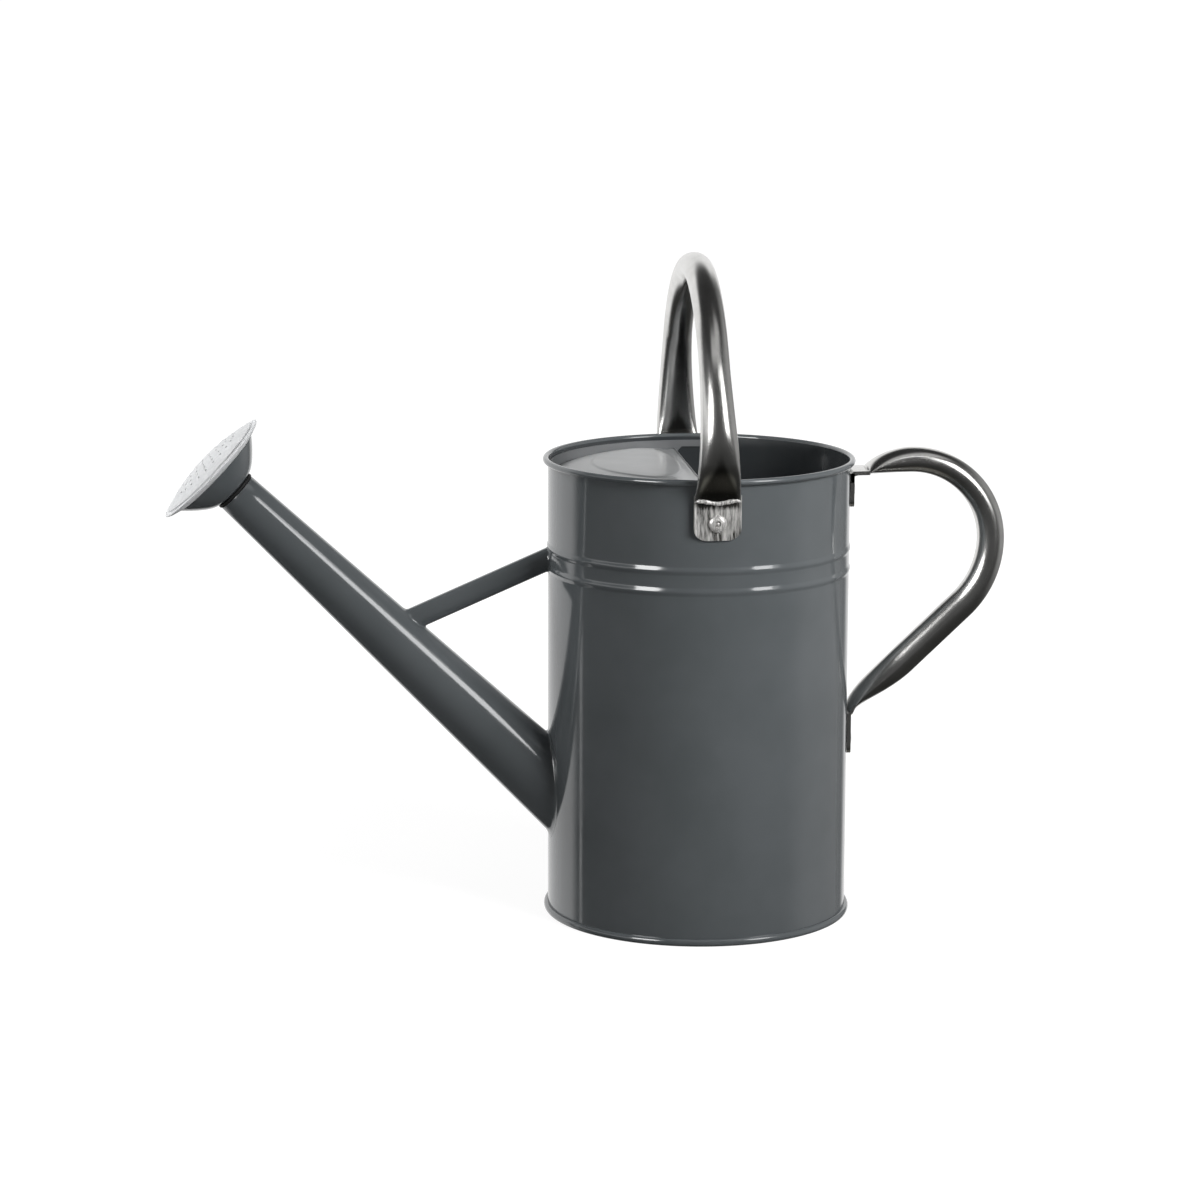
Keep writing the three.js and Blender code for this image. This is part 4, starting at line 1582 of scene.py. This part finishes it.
    def build(self, finishes: Finishes) -> None:
        """Makes the tube, the rolled edges along its lips, and the tabs below them.

        The far lip and tab are the near ones after half a turn.

        Args:
            finishes: The can's materials.
        """
        outer, inner = (self.lipped(grid) for grid in self.pipe().grids())
        tube = Skin("bail_tube").add_tube(outer, inner).mesh(45)
        # Painted shade in the feet's hollows, for the dark reflection they show.
        shade(tube, self.hollow)
        settle(tube, Body.CAN, finishes.stainless, ("bail_handle",))
        middle, half_turn = np.array([self.offset, 0.0, 0.0]), np.array([-1.0, -1.0, 1.0])
        bead = self.lip_bead(outer)
        lips = Skin("bail_lips").add(bead, loop_columns=True)
        lips.add((bead - middle) * half_turn + middle, loop_columns=True)
        settle(lips.mesh(60), Body.CAN, finishes.riveted, ())
        high = self.lip_height + self.tab_run
        face, back = wall_tab(
            self.foot_width, self.tab_low, high, self.tab_corner, TAB_BACK, TAB_FACE, self.tab_lip
        )
        skin = Skin("bail_tabs").add_slab(face + middle, back + middle)
        tabs = skin.add_slab(face * half_turn + middle, back * half_turn + middle).mesh(35)
        # Painted shadow on the tabs below the lip's two arches.
        shade(tabs, self.painted_lip_shadow)
        settle(tabs, Body.CAN, finishes.pressed, (), 0.25)

    def hollow(self, points: Array) -> Array:
        """Painted shade in the feet's hollows, for the dark reflection they show: a trapezoid that narrows
        as an eased share of the height.

        Args:
            points: The tube's vertices.

        Returns:
            The share of painted shade at each.
        """
        rise = (points[:, 2] - self.lip_height) / 30.0
        half = lerp(11.8, 1.4, eased(rise))
        across = np.abs(points[:, 0] - self.offset)
        return eased((half - across) / 3.0) * eased((1.0 - rise) * 2.5)

    def painted_lip_shadow(self, points: Array) -> Array:
        """Painted shadow under the lip's two arches: eased shares of height and of the sine of the place.

        Args:
            points: The tabs' vertices.

        Returns:
            The share of painted shadow at each.
        """
        across = np.abs(points[:, 0] - self.offset) / (self.foot_width / 2)
        arch = np.sin(math.pi * np.clip(across * 1.08, 0.0, 1.0)) ** 0.5
        return eased((points[:, 2] - self.lip_height + 3.4) / 2.0) * arch


@dataclass
class RearHandle:
    """The rear handle: a loop of tube with a tongue above and a pressed, riveted foot below.

    Attributes:
        wall: Radius of the can's wall.
        reach: Distance of the upper bend's centre from the wall.
        loop_height: Height of both bends' centres.
        loop_radius: Radius of the upper bend.
        bend_radius: Radius of the lower bend.
        leg_angle: Angle of the leg above level, in degrees.
        leg_length: Length of its straight stretch.
        tube: Radius of the tube.
        depths: Depth of the tube at the tongue, top, side, both ends of the leg and lower lip.
        keen: How keen its side edges are at the same places.
        tongue: Distance from the can's axis and height of the tongue's end.
        lower_lip: The same for the cut end of the leg.
        tab_width: Width of its tabs.
        tab_corner: Radius of the tabs' lower corners.
        tab_lows: Heights of the upper and lower tab's lower edge.
        tongue_start: Height at which the sheet that runs into the tongue leaves the upper tab.
        tongue_half: Half the sheet's width at the tongue.
        pressed: Thickness of the tabs.
    """

    wall: float = WALL
    reach: float = 34.4
    loop_height: float = 199.2
    loop_radius: float = 43.3
    bend_radius: float = 49.5
    leg_angle: float = 43.5
    leg_length: float = 44.0
    tube: float = 7.5
    depths: tuple[float, ...] = (2.2, 13.4, 14.6, 15.8, 15.8, 2.2)
    keen: tuple[float, ...] = (1.7, 1.0, 1.0, 1.15, 1.5, 1.8)
    tongue: Pair = (89.6, 237.0)
    lower_lip: Pair = (81.7, 106.2)
    tab_width: float = 22.0
    tab_corner: float = 4.0
    tab_lows: Pair = (218.6, 84.6)
    tongue_start: float = 232.0
    tongue_half: float = 10.4
    pressed: float = 2.15

    def bezier(self, a: Array, b: Array, c: Array, d: Array, steps: int) -> Array:
        """A cubic curve of four points: weights are the binomial powers of a share."""
        t = np.linspace(0.0, 1.0, steps + 1)[:, None]
        return (1 - t) ** 3 * a + 3 * t * (1 - t) ** 2 * b + 3 * t**2 * (1 - t) * c + t**3 * d

    def path(self) -> tuple[Array, Array, Array]:
        """The handle's line in the XZ plane, and the tube's depth and keenness along it.

        Returns:
            The points, and the depth and the keenness at each.
        """
        centre = np.array([self.wall + self.reach, self.loop_height])
        top = centre + [0.0, self.loop_radius]
        bend = centre + [self.loop_radius - self.bend_radius, 0.0]
        fall = math.radians(self.leg_angle)
        turn = fall - math.pi / 2
        leg_way = -np.array([math.cos(fall), math.sin(fall)])
        leg_start = bend + self.bend_radius * np.array([math.cos(turn), math.sin(turn)])
        leg_end = leg_start + leg_way * self.leg_length
        tongue, lip = np.array(self.tongue), np.array(self.lower_lip)
        lines = [
            self.bezier(tongue, tongue + [7.5, 3.75], top + [-7.5, 0.0], top, 26),
            arc(self.loop_radius, tuple(centre), math.pi / 2, 0.0, 44),
            arc(self.bend_radius, tuple(bend), 0.0, turn, 26),
            np.linspace(leg_start, leg_end, 14),
            self.bezier(leg_end, leg_end + leg_way * 17.0, lip + [2.8, 8.5], lip, 34),
        ]
        shares = [np.linspace(0.0, 1.0, len(line)) for line in lines]
        mixes = [np.sin(math.pi / 2 * shares[0]) ** 0.6, shares[1], shares[2], shares[3], shares[4] ** 1.6]
        depth, keen = (
            [lerp(marks[k], marks[k + 1], mixes[k]) for k in range(5)] for marks in (self.depths, self.keen)
        )
        keep = [slice(0 if k == 0 else 1, None) for k in range(5)]
        return tuple(
            np.concatenate([part[s] for part, s in zip(parts, keep)]) for parts in (lines, depth, keen)
        )

    def pipe(self) -> Tube:
        """The tube: an ellipse whose depth and width keep the tube's girth.

        Returns:
            The tube.
        """
        flat, depth, keen = self.path()
        line = np.stack([flat[:, 0], np.zeros(len(flat)), flat[:, 1]], 1)
        way = unit(np.gradient(line, axis=0))
        half = depth / 2
        ones = np.ones(len(line))
        return Tube(
            centre=line,
            side=np.broadcast_to([0.0, -1.0, 0.0], line.shape),
            out=np.stack([-way[:, 2], np.zeros(len(line)), way[:, 0]], 1),
            wide=np.sqrt(2 * self.tube**2 - half**2),
            front=half,
            rear=half,
            square=2.0 * ones,
            rear_square=2.0 * ones,
            keen=keen,
            dent=0.0 * ones,
            dent_power=2.0 * ones,
            wrap=0.0 * ones,
        )

    def tongue_face(self, face: float, start: float, drop: float, lift: float) -> Array:
        """One face of the sheet that runs up the wall and then out into the tube's tongue.

        On the wall it bends back by the square of the distance across over the wall's diameter.

        Args:
            face: Its distance from the axis on the wall.
            start: The same where it turns level.
            drop: How far below the tongue its stretch on the wall ends.
            lift: How far above the tongue its level stretch lies.

        Returns:
            The grid of its points.
        """
        steps, half = 9, self.tab_width / 2
        share = np.linspace(0.0, 1.0, steps)
        flat, level = np.full(steps, face), np.full(steps, self.tongue[1] + lift)
        out = np.concatenate([flat, lerp(start, self.tongue[0] + 0.5, share)])
        height = np.concatenate([lerp(self.tongue_start, self.tongue[1] - drop, share), level])
        width = np.concatenate([np.full(steps, half), lerp(half, self.tongue_half, share)])
        across = width[:, None] * np.linspace(-1.0, 1.0, 21)
        bend = np.zeros_like(across)
        bend[:steps] = across[:steps] ** 2 / (2 * self.wall)
        return np.stack([out[:, None] - bend, across, np.broadcast_to(height[:, None], across.shape)], 2)

    def build(self, finishes: Finishes) -> None:
        """Makes the loop of tube, its two tabs, and the sheet that joins the upper tab to its tongue.

        Args:
            finishes: The can's materials.
        """
        loop = Skin("rear_loop").add_tube(*self.pipe().grids())
        settle(loop.mesh(45), Body.CAN, finishes.stainless, ("rear_handle",))
        tabs = Skin("rear_tabs")
        turn = np.array([[0.0, 1.0, 0.0], [-1.0, 0.0, 0.0], [0.0, 0.0, 1.0]])
        outside = TAB_BACK + self.pressed
        for low, high in zip(self.tab_lows, (self.tongue[1], self.lower_lip[1] + 0.8)):
            face, back = wall_tab(self.tab_width, low, high, self.tab_corner, TAB_BACK, outside, 0.0)
            tabs.add_slab(face @ turn, back @ turn)
        upper = self.tongue_face(TAB_BACK + 0.1, TAB_BACK + 0.9, 0.2, 1.1)
        lower = self.tongue_face(outside, outside + 0.9, 1.6, -1.05)
        tabs.add_slab(upper, lower)
        settle(tabs.mesh(35), Body.CAN, finishes.stainless, (), 0.25)


class RivetKind(Enum):
    """The forms of rivet head, each with its height: hollow in its middle, and low."""

    POP = 1.9
    LOW = 0.8


@dataclass
class Rivet:
    """A rivet through a tab and the wall, with its tail and its washer inside the can.

    Attributes:
        name: The name of its piece.
        node: The CAD node it stands for.
        washer: The CAD node of its washer.
        angle: Its angle about the can's axis, in degrees.
        height: Its height.
        seat: Radius at which its head sits.
        kind: The form of its head.
        offset: Its distance from the axis along X.
        head: Radius of its head.
        shank: Radius of its shank.
        tail: Radius at which its tail starts, inside the can.
    """

    name: str
    node: str
    washer: str
    angle: float
    height: float
    seat: float
    kind: RivetKind
    offset: float = 0.0
    head: float = 4.7
    shank: float = 2.0
    tail: float = 77.55

    def frame(self) -> Seat:
        """The rivet's own frame.

        Returns:
            The frame, whose Z points out from the can.
        """
        turn = math.radians(self.angle)
        out = (math.cos(turn), math.sin(turn), 0.0)
        return Seat((self.offset, 0.0, self.height), (0.0, 0.0, -1.0), (-out[1], out[0], 0.0), out)

    def profile(self) -> Array:
        """The rivet's outline from its tail to the middle of its head.

        Tail and head are quarter ellipses. A pop rivet's head is open in its middle, where the
        broken end of its pin shows.

        Returns:
            Points of radius and distance from the can's axis.
        """
        top = self.kind.value
        tail_dome = arc(1.0, (0.0, 0.0), -math.pi / 2, 0.0, 6) * [3.4, 1.3] + [0.0, self.tail]
        turn = np.linspace(0.0, math.pi / 2, 13)
        dome = np.stack([self.head * np.cos(turn) ** 0.9, self.seat + top * np.sin(turn)], 1)
        dome[-1, 0] = 0.0
        if self.kind is RivetKind.POP:
            hollow = [[1.75, top - 0.12], [1.55, top - 0.45], [1.45, 0.55]]
            pin = [[0.95, 0.5], [0.85, 1.15], [0.5, 1.35], [0.0, 1.4]]
            middle = np.array(hollow + pin) + [0.0, self.seat]
            dome = np.concatenate([dome[dome[:, 0] > self.shank], middle])
        shank = [[self.shank, self.tail], [self.shank, self.seat]]
        return np.concatenate([tail_dome, shank, dome])

    def washer_profile(self) -> Array:
        """The washer's closed outline, flat against the inside of the wall, with its edges broken.

        Returns:
            Points of radius and distance from the can's axis.
        """
        return np.array([
            [2.3, 77.9], [2.3, 78.85], [2.45, 78.95], [5.3, 78.95], [5.5, 78.8], [5.5, 78.1], [5.3, 77.9],
        ])

    def build(self, finishes: Finishes) -> None:
        """Makes the rivet and its washer.

        Args:
            finishes: The can's materials.
        """
        rivet, ring = (
            self.frame().place(revolved(outline, 48)) for outline in (self.profile(), self.washer_profile())
        )
        skin = Skin(self.name).add(rivet, loop_columns=True)
        settle(skin.mesh(35), Body.CAN, finishes.riveted, (self.node,))
        washer = Skin(self.name + "_washer").add(ring, loop_rows=True, loop_columns=True)
        settle(washer.mesh(35), Body.CAN, finishes.zinc, (self.washer,))


@dataclass
class Rose:
    """The rose on the spout's tip: sleeve, rubber ring, bowl and perforated face.

    Attributes:
        seal_seat: Where the rubber ring starts along the spout.
        seal_thickness: Thickness of the rubber ring.
        seal_radius: Its radius.
        neck_radius: Radius of the sleeve.
        bowl_seat: Where the bowl starts along the spout.
        mouth: Where the bowl's mouth is along the spout.
        bowl_radius: Radius of the bowl's mouth.
        radius: Radius of the face's rim.
        flare: How far the face's back slopes from the bowl's mouth to the rim.
        step_width: Distance of the step line from the rim.
        rise: How high the face is domed.
        hole_radius: Radius of a hole.
        hole_rings: How many rings of holes there are.
        hole_pitch: Distance between the rings.
        sheet: Thickness of the steel.
        facets: Steps round it.
    """

    seal_seat: float = 228.5
    seal_thickness: float = 1.7
    seal_radius: float = 11.75
    neck_radius: float = 9.6
    bowl_seat: float = 230.5
    mouth: float = 243.5
    bowl_radius: float = 27.3
    radius: float = 34.5
    flare: float = 2.8
    step_width: float = 3.2
    rise: float = 4.6
    hole_radius: float = 0.65
    hole_rings: int = 5
    hole_pitch: float = 5.4
    sheet: float = SHEET
    facets: int = 144

    def bowl_profile(self) -> Array:
        """The bowl's closed outline: a curve through measured points and its inner face.

        Returns:
            Points of radius and distance along the spout.
        """
        knots = np.array([
            [11.4, 0.0], [14.0, 0.9], [17.2, 3.0], [20.6, 5.9], [23.8, 9.0], [26.0, 11.4],
            [self.bowl_radius, self.mouth - self.bowl_seat],
        ]) + [0.0, self.bowl_seat]
        outside = through(knots, 37)
        way = unit(np.gradient(outside, axis=0))
        inside = outside + self.sheet * np.stack([-way[:, 1], way[:, 0]], 1)
        neck = self.neck_radius + 0.3
        return np.concatenate([
            [[neck, self.bowl_seat]], outside, inside[::-1], [[neck, self.bowl_seat + self.sheet]],
        ])

    def dome(self, lift: float, edge: float) -> Array:
        """The face's dome from its edge to its middle: rise times one less the squared share.

        Args:
            lift: How far it is moved out along the spout.
            edge: Its radius at its edge.

        Returns:
            Points of radius and distance along the spout.
        """
        share = np.linspace(1.0, 0.0, 22)
        rim = self.mouth + 0.3 + self.flare + 0.54
        return np.stack([edge * share, rim + 0.8 + self.rise * (1 - share**2) + lift], 1)

    def face_profile(self) -> Array:
        """The face's outline from middle to middle: dome, step, folded rim and flared back.

        Returns:
            Points of radius and distance along the spout.
        """
        back = self.mouth + 0.3
        rim = back + self.flare
        edge = self.radius - self.step_width
        bend = 0.42
        fold = arc(bend, (self.radius - bend, rim + 0.05), math.radians(-75), math.radians(95), 10)
        return np.concatenate([
            self.dome(-self.sheet, edge - 0.3)[::-1],
            [[edge + 0.5, rim - 0.1], [self.radius - 2.4, rim - 0.25]],
            [[self.bowl_radius - 0.4, back + 0.75], [self.bowl_radius - 0.9, back + 0.45]],
            [[self.bowl_radius - 0.8, back], [self.bowl_radius + 0.5, back]],
            [[30.5, back + 0.9], [33.0, back + 1.75]],
            fold,
            [[self.radius - 1.4, rim + 0.5], [edge + 0.9, rim + 0.42], [edge + 0.35, rim + 0.55]],
            self.dome(0.0, edge),
        ])

    def hole_tool(self) -> Mesh:
        """The tool for all holes: short rods in rings, each ring with six more than the last.

        Returns:
            The mesh of all rods.
        """
        places = [(0.0, 0.0)]
        for ring in range(1, self.hole_rings):
            count = 6 * ring
            turn = TURN * (np.arange(count) + (ring % 2) / 2) / count
            places += list(zip(ring * self.hole_pitch * np.cos(turn), ring * self.hole_pitch * np.sin(turn)))
        radius, near, far = self.hole_radius, self.mouth - 2.0, self.mouth + 14.0
        rod = revolved(np.array([[0.0, near], [radius, near], [radius, far], [0.0, far]]), 16)
        seat = Spout().seat()
        skin = Skin("holes")
        for x, y in places:
            skin.add(seat.place(rod + [x, y, 0.0]), loop_columns=True)
        return skin.mesh()

    def turned(self, name: str, profile: Array, closed: bool, sharp: float = 40.0) -> Mesh:
        """A piece turned about the spout's axis.

        Args:
            name: The piece's name.
            profile: Its outline as radius and distance along the spout.
            closed: Whether the outline is a loop.
            sharp: The angle in degrees from which an edge stays sharp.

        Returns:
            The mesh.
        """
        grid = Spout().seat().place(revolved(profile, self.facets))
        return Skin(name).add(grid, loop_rows=closed, loop_columns=True).mesh(sharp)

    def build(self, finishes: Finishes) -> None:
        """Makes the sleeve, the ring, the bowl and the face.

        Args:
            finishes: The can's materials.
        """
        neck, wall = self.neck_radius, 0.8
        start, collar, top = self.bowl_seat - 16.0, self.bowl_seat + 0.9, self.bowl_seat + 1.5
        sleeve = np.array([
            [neck - wall, start + 0.3], [neck - 0.5, start], [neck - 0.2, start + 0.1], [neck, start + 0.6],
            [neck, collar], [neck + wall, collar], [neck + wall, top], [neck - wall, top],
        ])
        settle(self.turned("rose_sleeve", sleeve, True), Body.ROSE, finishes.zinc, ("rose_neck",))
        half, round_edge = self.seal_thickness / 2, 0.6
        bulge = arc(1.0, (0.0, 0.0), -math.pi / 2, math.pi / 2, 12) * [round_edge, half]
        ring = np.concatenate([
            [[neck + 0.3, self.seal_seat]],
            bulge + [self.seal_radius - round_edge, self.seal_seat + half],
            [[neck + 0.3, self.seal_seat + self.seal_thickness]],
        ])
        seal = self.turned("rubber_ring", ring, True)
        settle(seal, Body.SEAL, finishes.rubber, ("rose_seal",))
        bowl = self.turned("rose_cup", self.bowl_profile(), True)
        settle(bowl, Body.ROSE, finishes.enamel, ("rose_bowl",))
        face = cut(self.turned("sprinkler_face", self.face_profile(), False, 28), [self.hole_tool()], 28)
        settle(face, Body.ROSE, finishes.zinc, ("rose_face",))


# Studio


@dataclass
class SoftBox:
    """A lamp with a flat face, aimed at the can.

    Attributes:
        name: Its name.
        place: Where it stands, in metres.
        size: Its width and height, in metres.
        radiance: How bright its face is.
        aim: The point it faces.
        mirrored: Whether glossy surfaces show it.
        lighting: Whether it lights matt surfaces.
    """

    name: str
    place: Triple
    size: Pair
    radiance: float
    aim: Triple = (0.06, 0.0, 0.14)
    mirrored: bool = True
    lighting: bool = True

    def build(self) -> None:
        """Makes the lamp, whose power is its radiance times its area times pi."""
        light = bpy.data.lights.new(self.name, "AREA")
        light.shape = "RECTANGLE"
        light.size, light.size_y = self.size
        light.energy = self.radiance * math.pi * self.size[0] * self.size[1]
        lamp = bpy.data.objects.new(self.name, light)
        bpy.context.scene.collection.objects.link(lamp)
        lamp.location = self.place
        way = Vector(self.aim) - Vector(self.place)
        lamp.rotation_euler = way.to_track_quat("-Z", "Y").to_euler()
        lamp.visible_glossy = self.mirrored
        lamp.visible_diffuse = self.lighting
        lamp.visible_camera = False


@dataclass(frozen=True)
class Card:
    """A patch of the surroundings, as the can's glossy surfaces see it.

    Attributes:
        azimuth: The middle of the patch, in degrees to the right of the camera.
        half: Half its width in degrees.
        low: Its lower edge, in degrees above level.
        high: Its upper edge.
        soft: How many degrees its edges take to fade.
        radiance: How bright it is.
    """

    azimuth: float
    half: float
    low: float
    high: float
    soft: float
    radiance: float


@dataclass
class Studio:
    """Pale floor, white surroundings with a darker front, soft boxes and the camera.

    Attributes:
        azimuth: The camera's own azimuth from -Y, in degrees.
        cards: The patches of the surroundings, each laid over the ones before it.
        room: The dark room's colour at shares of the way from straight below to straight above.
        floor_size: Half the floor's width, in metres.
        floor_near: Distances from the middle between which the floor's glow grows, in metres.
        floor_glow: How brightly it glows at them.
        floor_shown: Its grey to the camera, besides the glow.
        floor_lit: Its grey to other rays.
        camera_place: Where the camera stands from the foot of the can's axis, in metres.
        camera_turn: Its yaw, pitch and roll, in radians.
        camera_focus: Its focal length, in widths of the picture.
    """

    azimuth: float = -7.56
    cards: tuple[Card, ...] = (
        Card(35.0, 62.0, 52.0, 74.0, 7.0, 0.55),
        Card(-70.0, 34.0, 0.0, 14.0, 5.0, 0.95),
        Card(114.0, 32.0, -25.0, 30.0, 16.0, 0.36),
        Card(203.5, 48.5, -36.0, 36.0, 6.0, 1.00),
        Card(-100.5, 1.3, -40.0, 25.0, 0.6, 1.10),
    )
    room: tuple[tuple[float, Triple], ...] = (
        (0.0, (0.20, 0.195, 0.17)), (0.07, (0.14, 0.137, 0.12)), (0.14, (0.025, 0.025, 0.023)),
        (0.3, (0.035, 0.035, 0.034)), (0.45, (0.07, 0.07, 0.07)), (0.65, (0.08, 0.08, 0.08)),
        (0.78, (0.03, 0.03, 0.03)), (1.0, (0.03, 0.03, 0.03)),
    )
    floor_size: float = 30.0
    floor_near: Pair = (0.30, 0.75)
    floor_glow: Pair = (0.84, 1.0)
    floor_shown: float = 0.22
    floor_lit: float = 0.25
    camera_place: Triple = (-0.26329, -1.98455, 0.55666)
    camera_turn: Triple = (0.1058, 0.1918, 0.0027)
    camera_focus: float = 3824.09 / 1200

    def world(self) -> None:
        """White to the camera. To other rays a dark room with the cards in it.

        A card's mask is the product of three smooth shares: sideways, above its foot, below its head.
        """
        world = bpy.data.worlds.new("studio")
        bpy.context.scene.world = world
        world.use_nodes = True
        tree = world.node_tree
        tree.nodes.clear()
        new, link = tree.nodes.new, tree.links.new

        def maths(operation: str, *values: float | Socket) -> Socket:
            """One sum in the world's node tree.

            Args:
                operation: The kind of sum.
                values: Its numbers or sockets.

            Returns:
                The socket with the result.
            """
            node = new("ShaderNodeMath")
            node.operation = operation
            for socket, value in zip(node.inputs, values):
                if isinstance(value, Socket):
                    link(value, socket)
                else:
                    socket.default_value = value
            return node.outputs[0]

        coordinates = new("ShaderNodeTexCoord")
        parts = new("ShaderNodeSeparateXYZ")
        link(coordinates.outputs["Generated"], parts.inputs[0])
        x, y, z = parts.outputs
        around = maths("DEGREES", maths("ARCTAN2", x, maths("MULTIPLY", y, -1.0)))
        above = maths("DEGREES", maths("ARCSINE", z))
        ramp = new("ShaderNodeValToRGB")
        elements = ramp.color_ramp.elements
        while len(elements) < len(self.room):
            elements.new(0.5)
        for element, (place, colour) in zip(elements, self.room):
            element.position = place
            element.color = (*colour, 1.0)
        link(maths("MULTIPLY_ADD", above, 1 / 180, 0.5), ramp.inputs["Fac"])
        room = ramp.outputs["Color"]
        for card in self.cards:
            middle = card.azimuth + self.azimuth
            away = maths("ABSOLUTE", maths("WRAP", maths("SUBTRACT", around, middle), 180.0, -180.0))
            sides = ranged(tree, away, (card.half + card.soft, card.half - card.soft), smooth=True)
            foot = ranged(tree, above, (card.low - card.soft, card.low + card.soft), smooth=True)
            head = ranged(tree, above, (card.high + card.soft, card.high - card.soft), smooth=True)
            mask = maths("MULTIPLY", sides, maths("MULTIPLY", foot, head))
            room = mixed(tree, mask, room, (card.radiance,) * 3)
        seen = new("ShaderNodeBackground")
        seen.inputs["Color"].default_value = (1.0, 1.0, 1.0, 1.0)
        lit = new("ShaderNodeBackground")
        link(room, lit.inputs["Color"])
        path = new("ShaderNodeLightPath")
        mix = new("ShaderNodeMixShader")
        link(path.outputs["Is Camera Ray"], mix.inputs[0])
        link(lit.outputs[0], mix.inputs[1])
        link(seen.outputs[0], mix.inputs[2])
        output = new("ShaderNodeOutputWorld")
        link(mix.outputs[0], output.inputs["Surface"])

    def floor(self) -> None:
        """A pale floor that shows near white to the camera and keeps the can's shadow."""
        half = self.floor_size
        mesh = bpy.data.meshes.new("floor")
        corners = [(-half, -half, 0.0), (half, -half, 0.0), (half, half, 0.0), (-half, half, 0.0)]
        mesh.from_pydata(corners, [], [(0, 1, 2, 3)])
        plane = bpy.data.objects.new("floor", mesh)
        bpy.context.scene.collection.objects.link(plane)
        plane.visible_glossy = False
        material = bpy.data.materials.new("pale floor")
        material.use_nodes = True
        tree = material.node_tree
        tree.nodes.clear()
        new, link = tree.nodes.new, tree.links.new
        bright = new("ShaderNodeEmission")
        soft = new("ShaderNodeBsdfDiffuse")
        soft.inputs["Color"].default_value = (*(self.floor_shown,) * 3, 1.0)
        shown = new("ShaderNodeAddShader")
        pale = new("ShaderNodeBsdfDiffuse")
        pale.inputs["Color"].default_value = (*(self.floor_lit,) * 3, 1.0)
        coordinates = new("ShaderNodeTexCoord")
        distance = new("ShaderNodeVectorMath")
        distance.operation = "LENGTH"
        path = new("ShaderNodeLightPath")
        mix = new("ShaderNodeMixShader")
        output = new("ShaderNodeOutputMaterial")
        link(coordinates.outputs["Object"], distance.inputs[0])
        glow = ranged(tree, distance.outputs["Value"], self.floor_near, self.floor_glow)
        link(glow, bright.inputs["Strength"])
        link(bright.outputs[0], shown.inputs[0])
        link(soft.outputs[0], shown.inputs[1])
        link(path.outputs["Is Camera Ray"], mix.inputs[0])
        link(pale.outputs[0], mix.inputs[1])
        link(shown.outputs[0], mix.inputs[2])
        link(mix.outputs[0], output.inputs["Surface"])
        mesh.materials.append(material)

    def lamps(self) -> None:
        """The lamps, which are seen by glossy surfaces or light matt ones.

        For the highlights, a dim soft box on each side in front with a brighter bulb in it, and a
        strip above. For matt surfaces, a key on the right, a sky behind on the left and a low fill.
        """
        for box in (
            SoftBox("right box", (1.31, -1.27, 0.92), (0.74, 1.36), 1.1, lighting=False),
            SoftBox("right bulb", (1.24, -1.30, 0.91), (0.50, 1.00), 4.5, lighting=False),
            SoftBox("left box", (-1.20, -1.28, 0.72), (0.72, 1.00), 1.1, lighting=False),
            SoftBox("left bulb", (-1.21, -1.23, 0.71), (0.58, 0.80), 7.5, lighting=False),
            SoftBox("strip", (0.27, -0.35, 0.62), (0.22, 0.05), 2.0, lighting=False),
            SoftBox("key", (0.56, -0.62, 0.62), (0.42, 0.42), 18.5, mirrored=False),
            SoftBox("left sky", (-0.75, 0.45, 0.95), (0.50, 0.50), 11.5, mirrored=False),
            SoftBox("low fill", (-0.72, -0.22, 0.07), (0.50, 0.12), 5.0, mirrored=False),
        ):
            box.build()

    def camera(self) -> None:
        """The camera at the photograph's viewing angle, as fitted to the rim, base and wall."""
        yaw, pitch, roll = self.camera_turn
        ahead = Vector((math.sin(yaw) * math.cos(pitch), math.cos(yaw) * math.cos(pitch), -math.sin(pitch)))
        right = Vector((math.cos(yaw), -math.sin(yaw), 0.0))
        up = right.cross(ahead)
        tilted_right = math.cos(roll) * right + math.sin(roll) * up
        tilted_up = math.cos(roll) * up - math.sin(roll) * right
        data = bpy.data.cameras.new("camera")
        data.sensor_width = 36.0
        data.lens = self.camera_focus * data.sensor_width
        data.clip_end = 200.0
        camera = bpy.data.objects.new("camera", data)
        bpy.context.scene.collection.objects.link(camera)
        rotation = Matrix((tilted_right, tilted_up, -ahead)).transposed()
        aside, back, height = self.camera_place
        place = (can_axis()[0] + aside, back, height)
        camera.matrix_world = Matrix.Translation(place) @ rotation.to_4x4()
        bpy.context.scene.camera = camera

    def build(self) -> None:
        """Sets the scene around the can."""
        self.world()
        self.floor()
        self.lamps()
        self.camera()
        bpy.context.scene.view_settings.view_transform = "Standard"


def dress_hidden_wire(finishes: Finishes) -> None:
    """Gives the wire inside the rolled rim its galvanised finish.

    Args:
        finishes: The can's materials.
    """
    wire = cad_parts["rim_wire"]
    wire.data.materials.clear()
    wire.data.materials.append(finishes.zinc)
    LOG.info("rim_wire: CAD node with a new finish")


def main() -> None:
    """Builds every sub-assembly in order."""
    logging.basicConfig(level=logging.INFO, format="%(name)s: %(message)s")
    finishes = Finishes.make()
    spout = Spout()
    CanBody().build(finishes, spout)
    HalfLid().build(finishes)
    spout.build(finishes)
    Brace().build(finishes, spout)
    Bail().build(finishes)
    RearHandle().build(finishes)
    for rivet in (
        Rivet("near_rivet", "bail_rivet_near", "bail_washer_near", -90.0, 223.4, 81.6, RivetKind.POP, -1.0),
        Rivet("far_rivet", "bail_rivet_far", "bail_washer_far", 90.0, 223.4, 81.6, RivetKind.POP, -1.0),
        Rivet("upper_rivet", "handle_rivet_upper", "handle_washer_upper", 0.0, 227.4, 82.75, RivetKind.LOW),
        Rivet("lower_rivet", "handle_rivet_lower", "handle_washer_lower", 0.0, 91.6, 82.75, RivetKind.LOW),
    ):
        rivet.build(finishes)
    Rose().build(finishes)
    dress_hidden_wire(finishes)
    Studio().build()


if __name__ == "__main__":
    main()
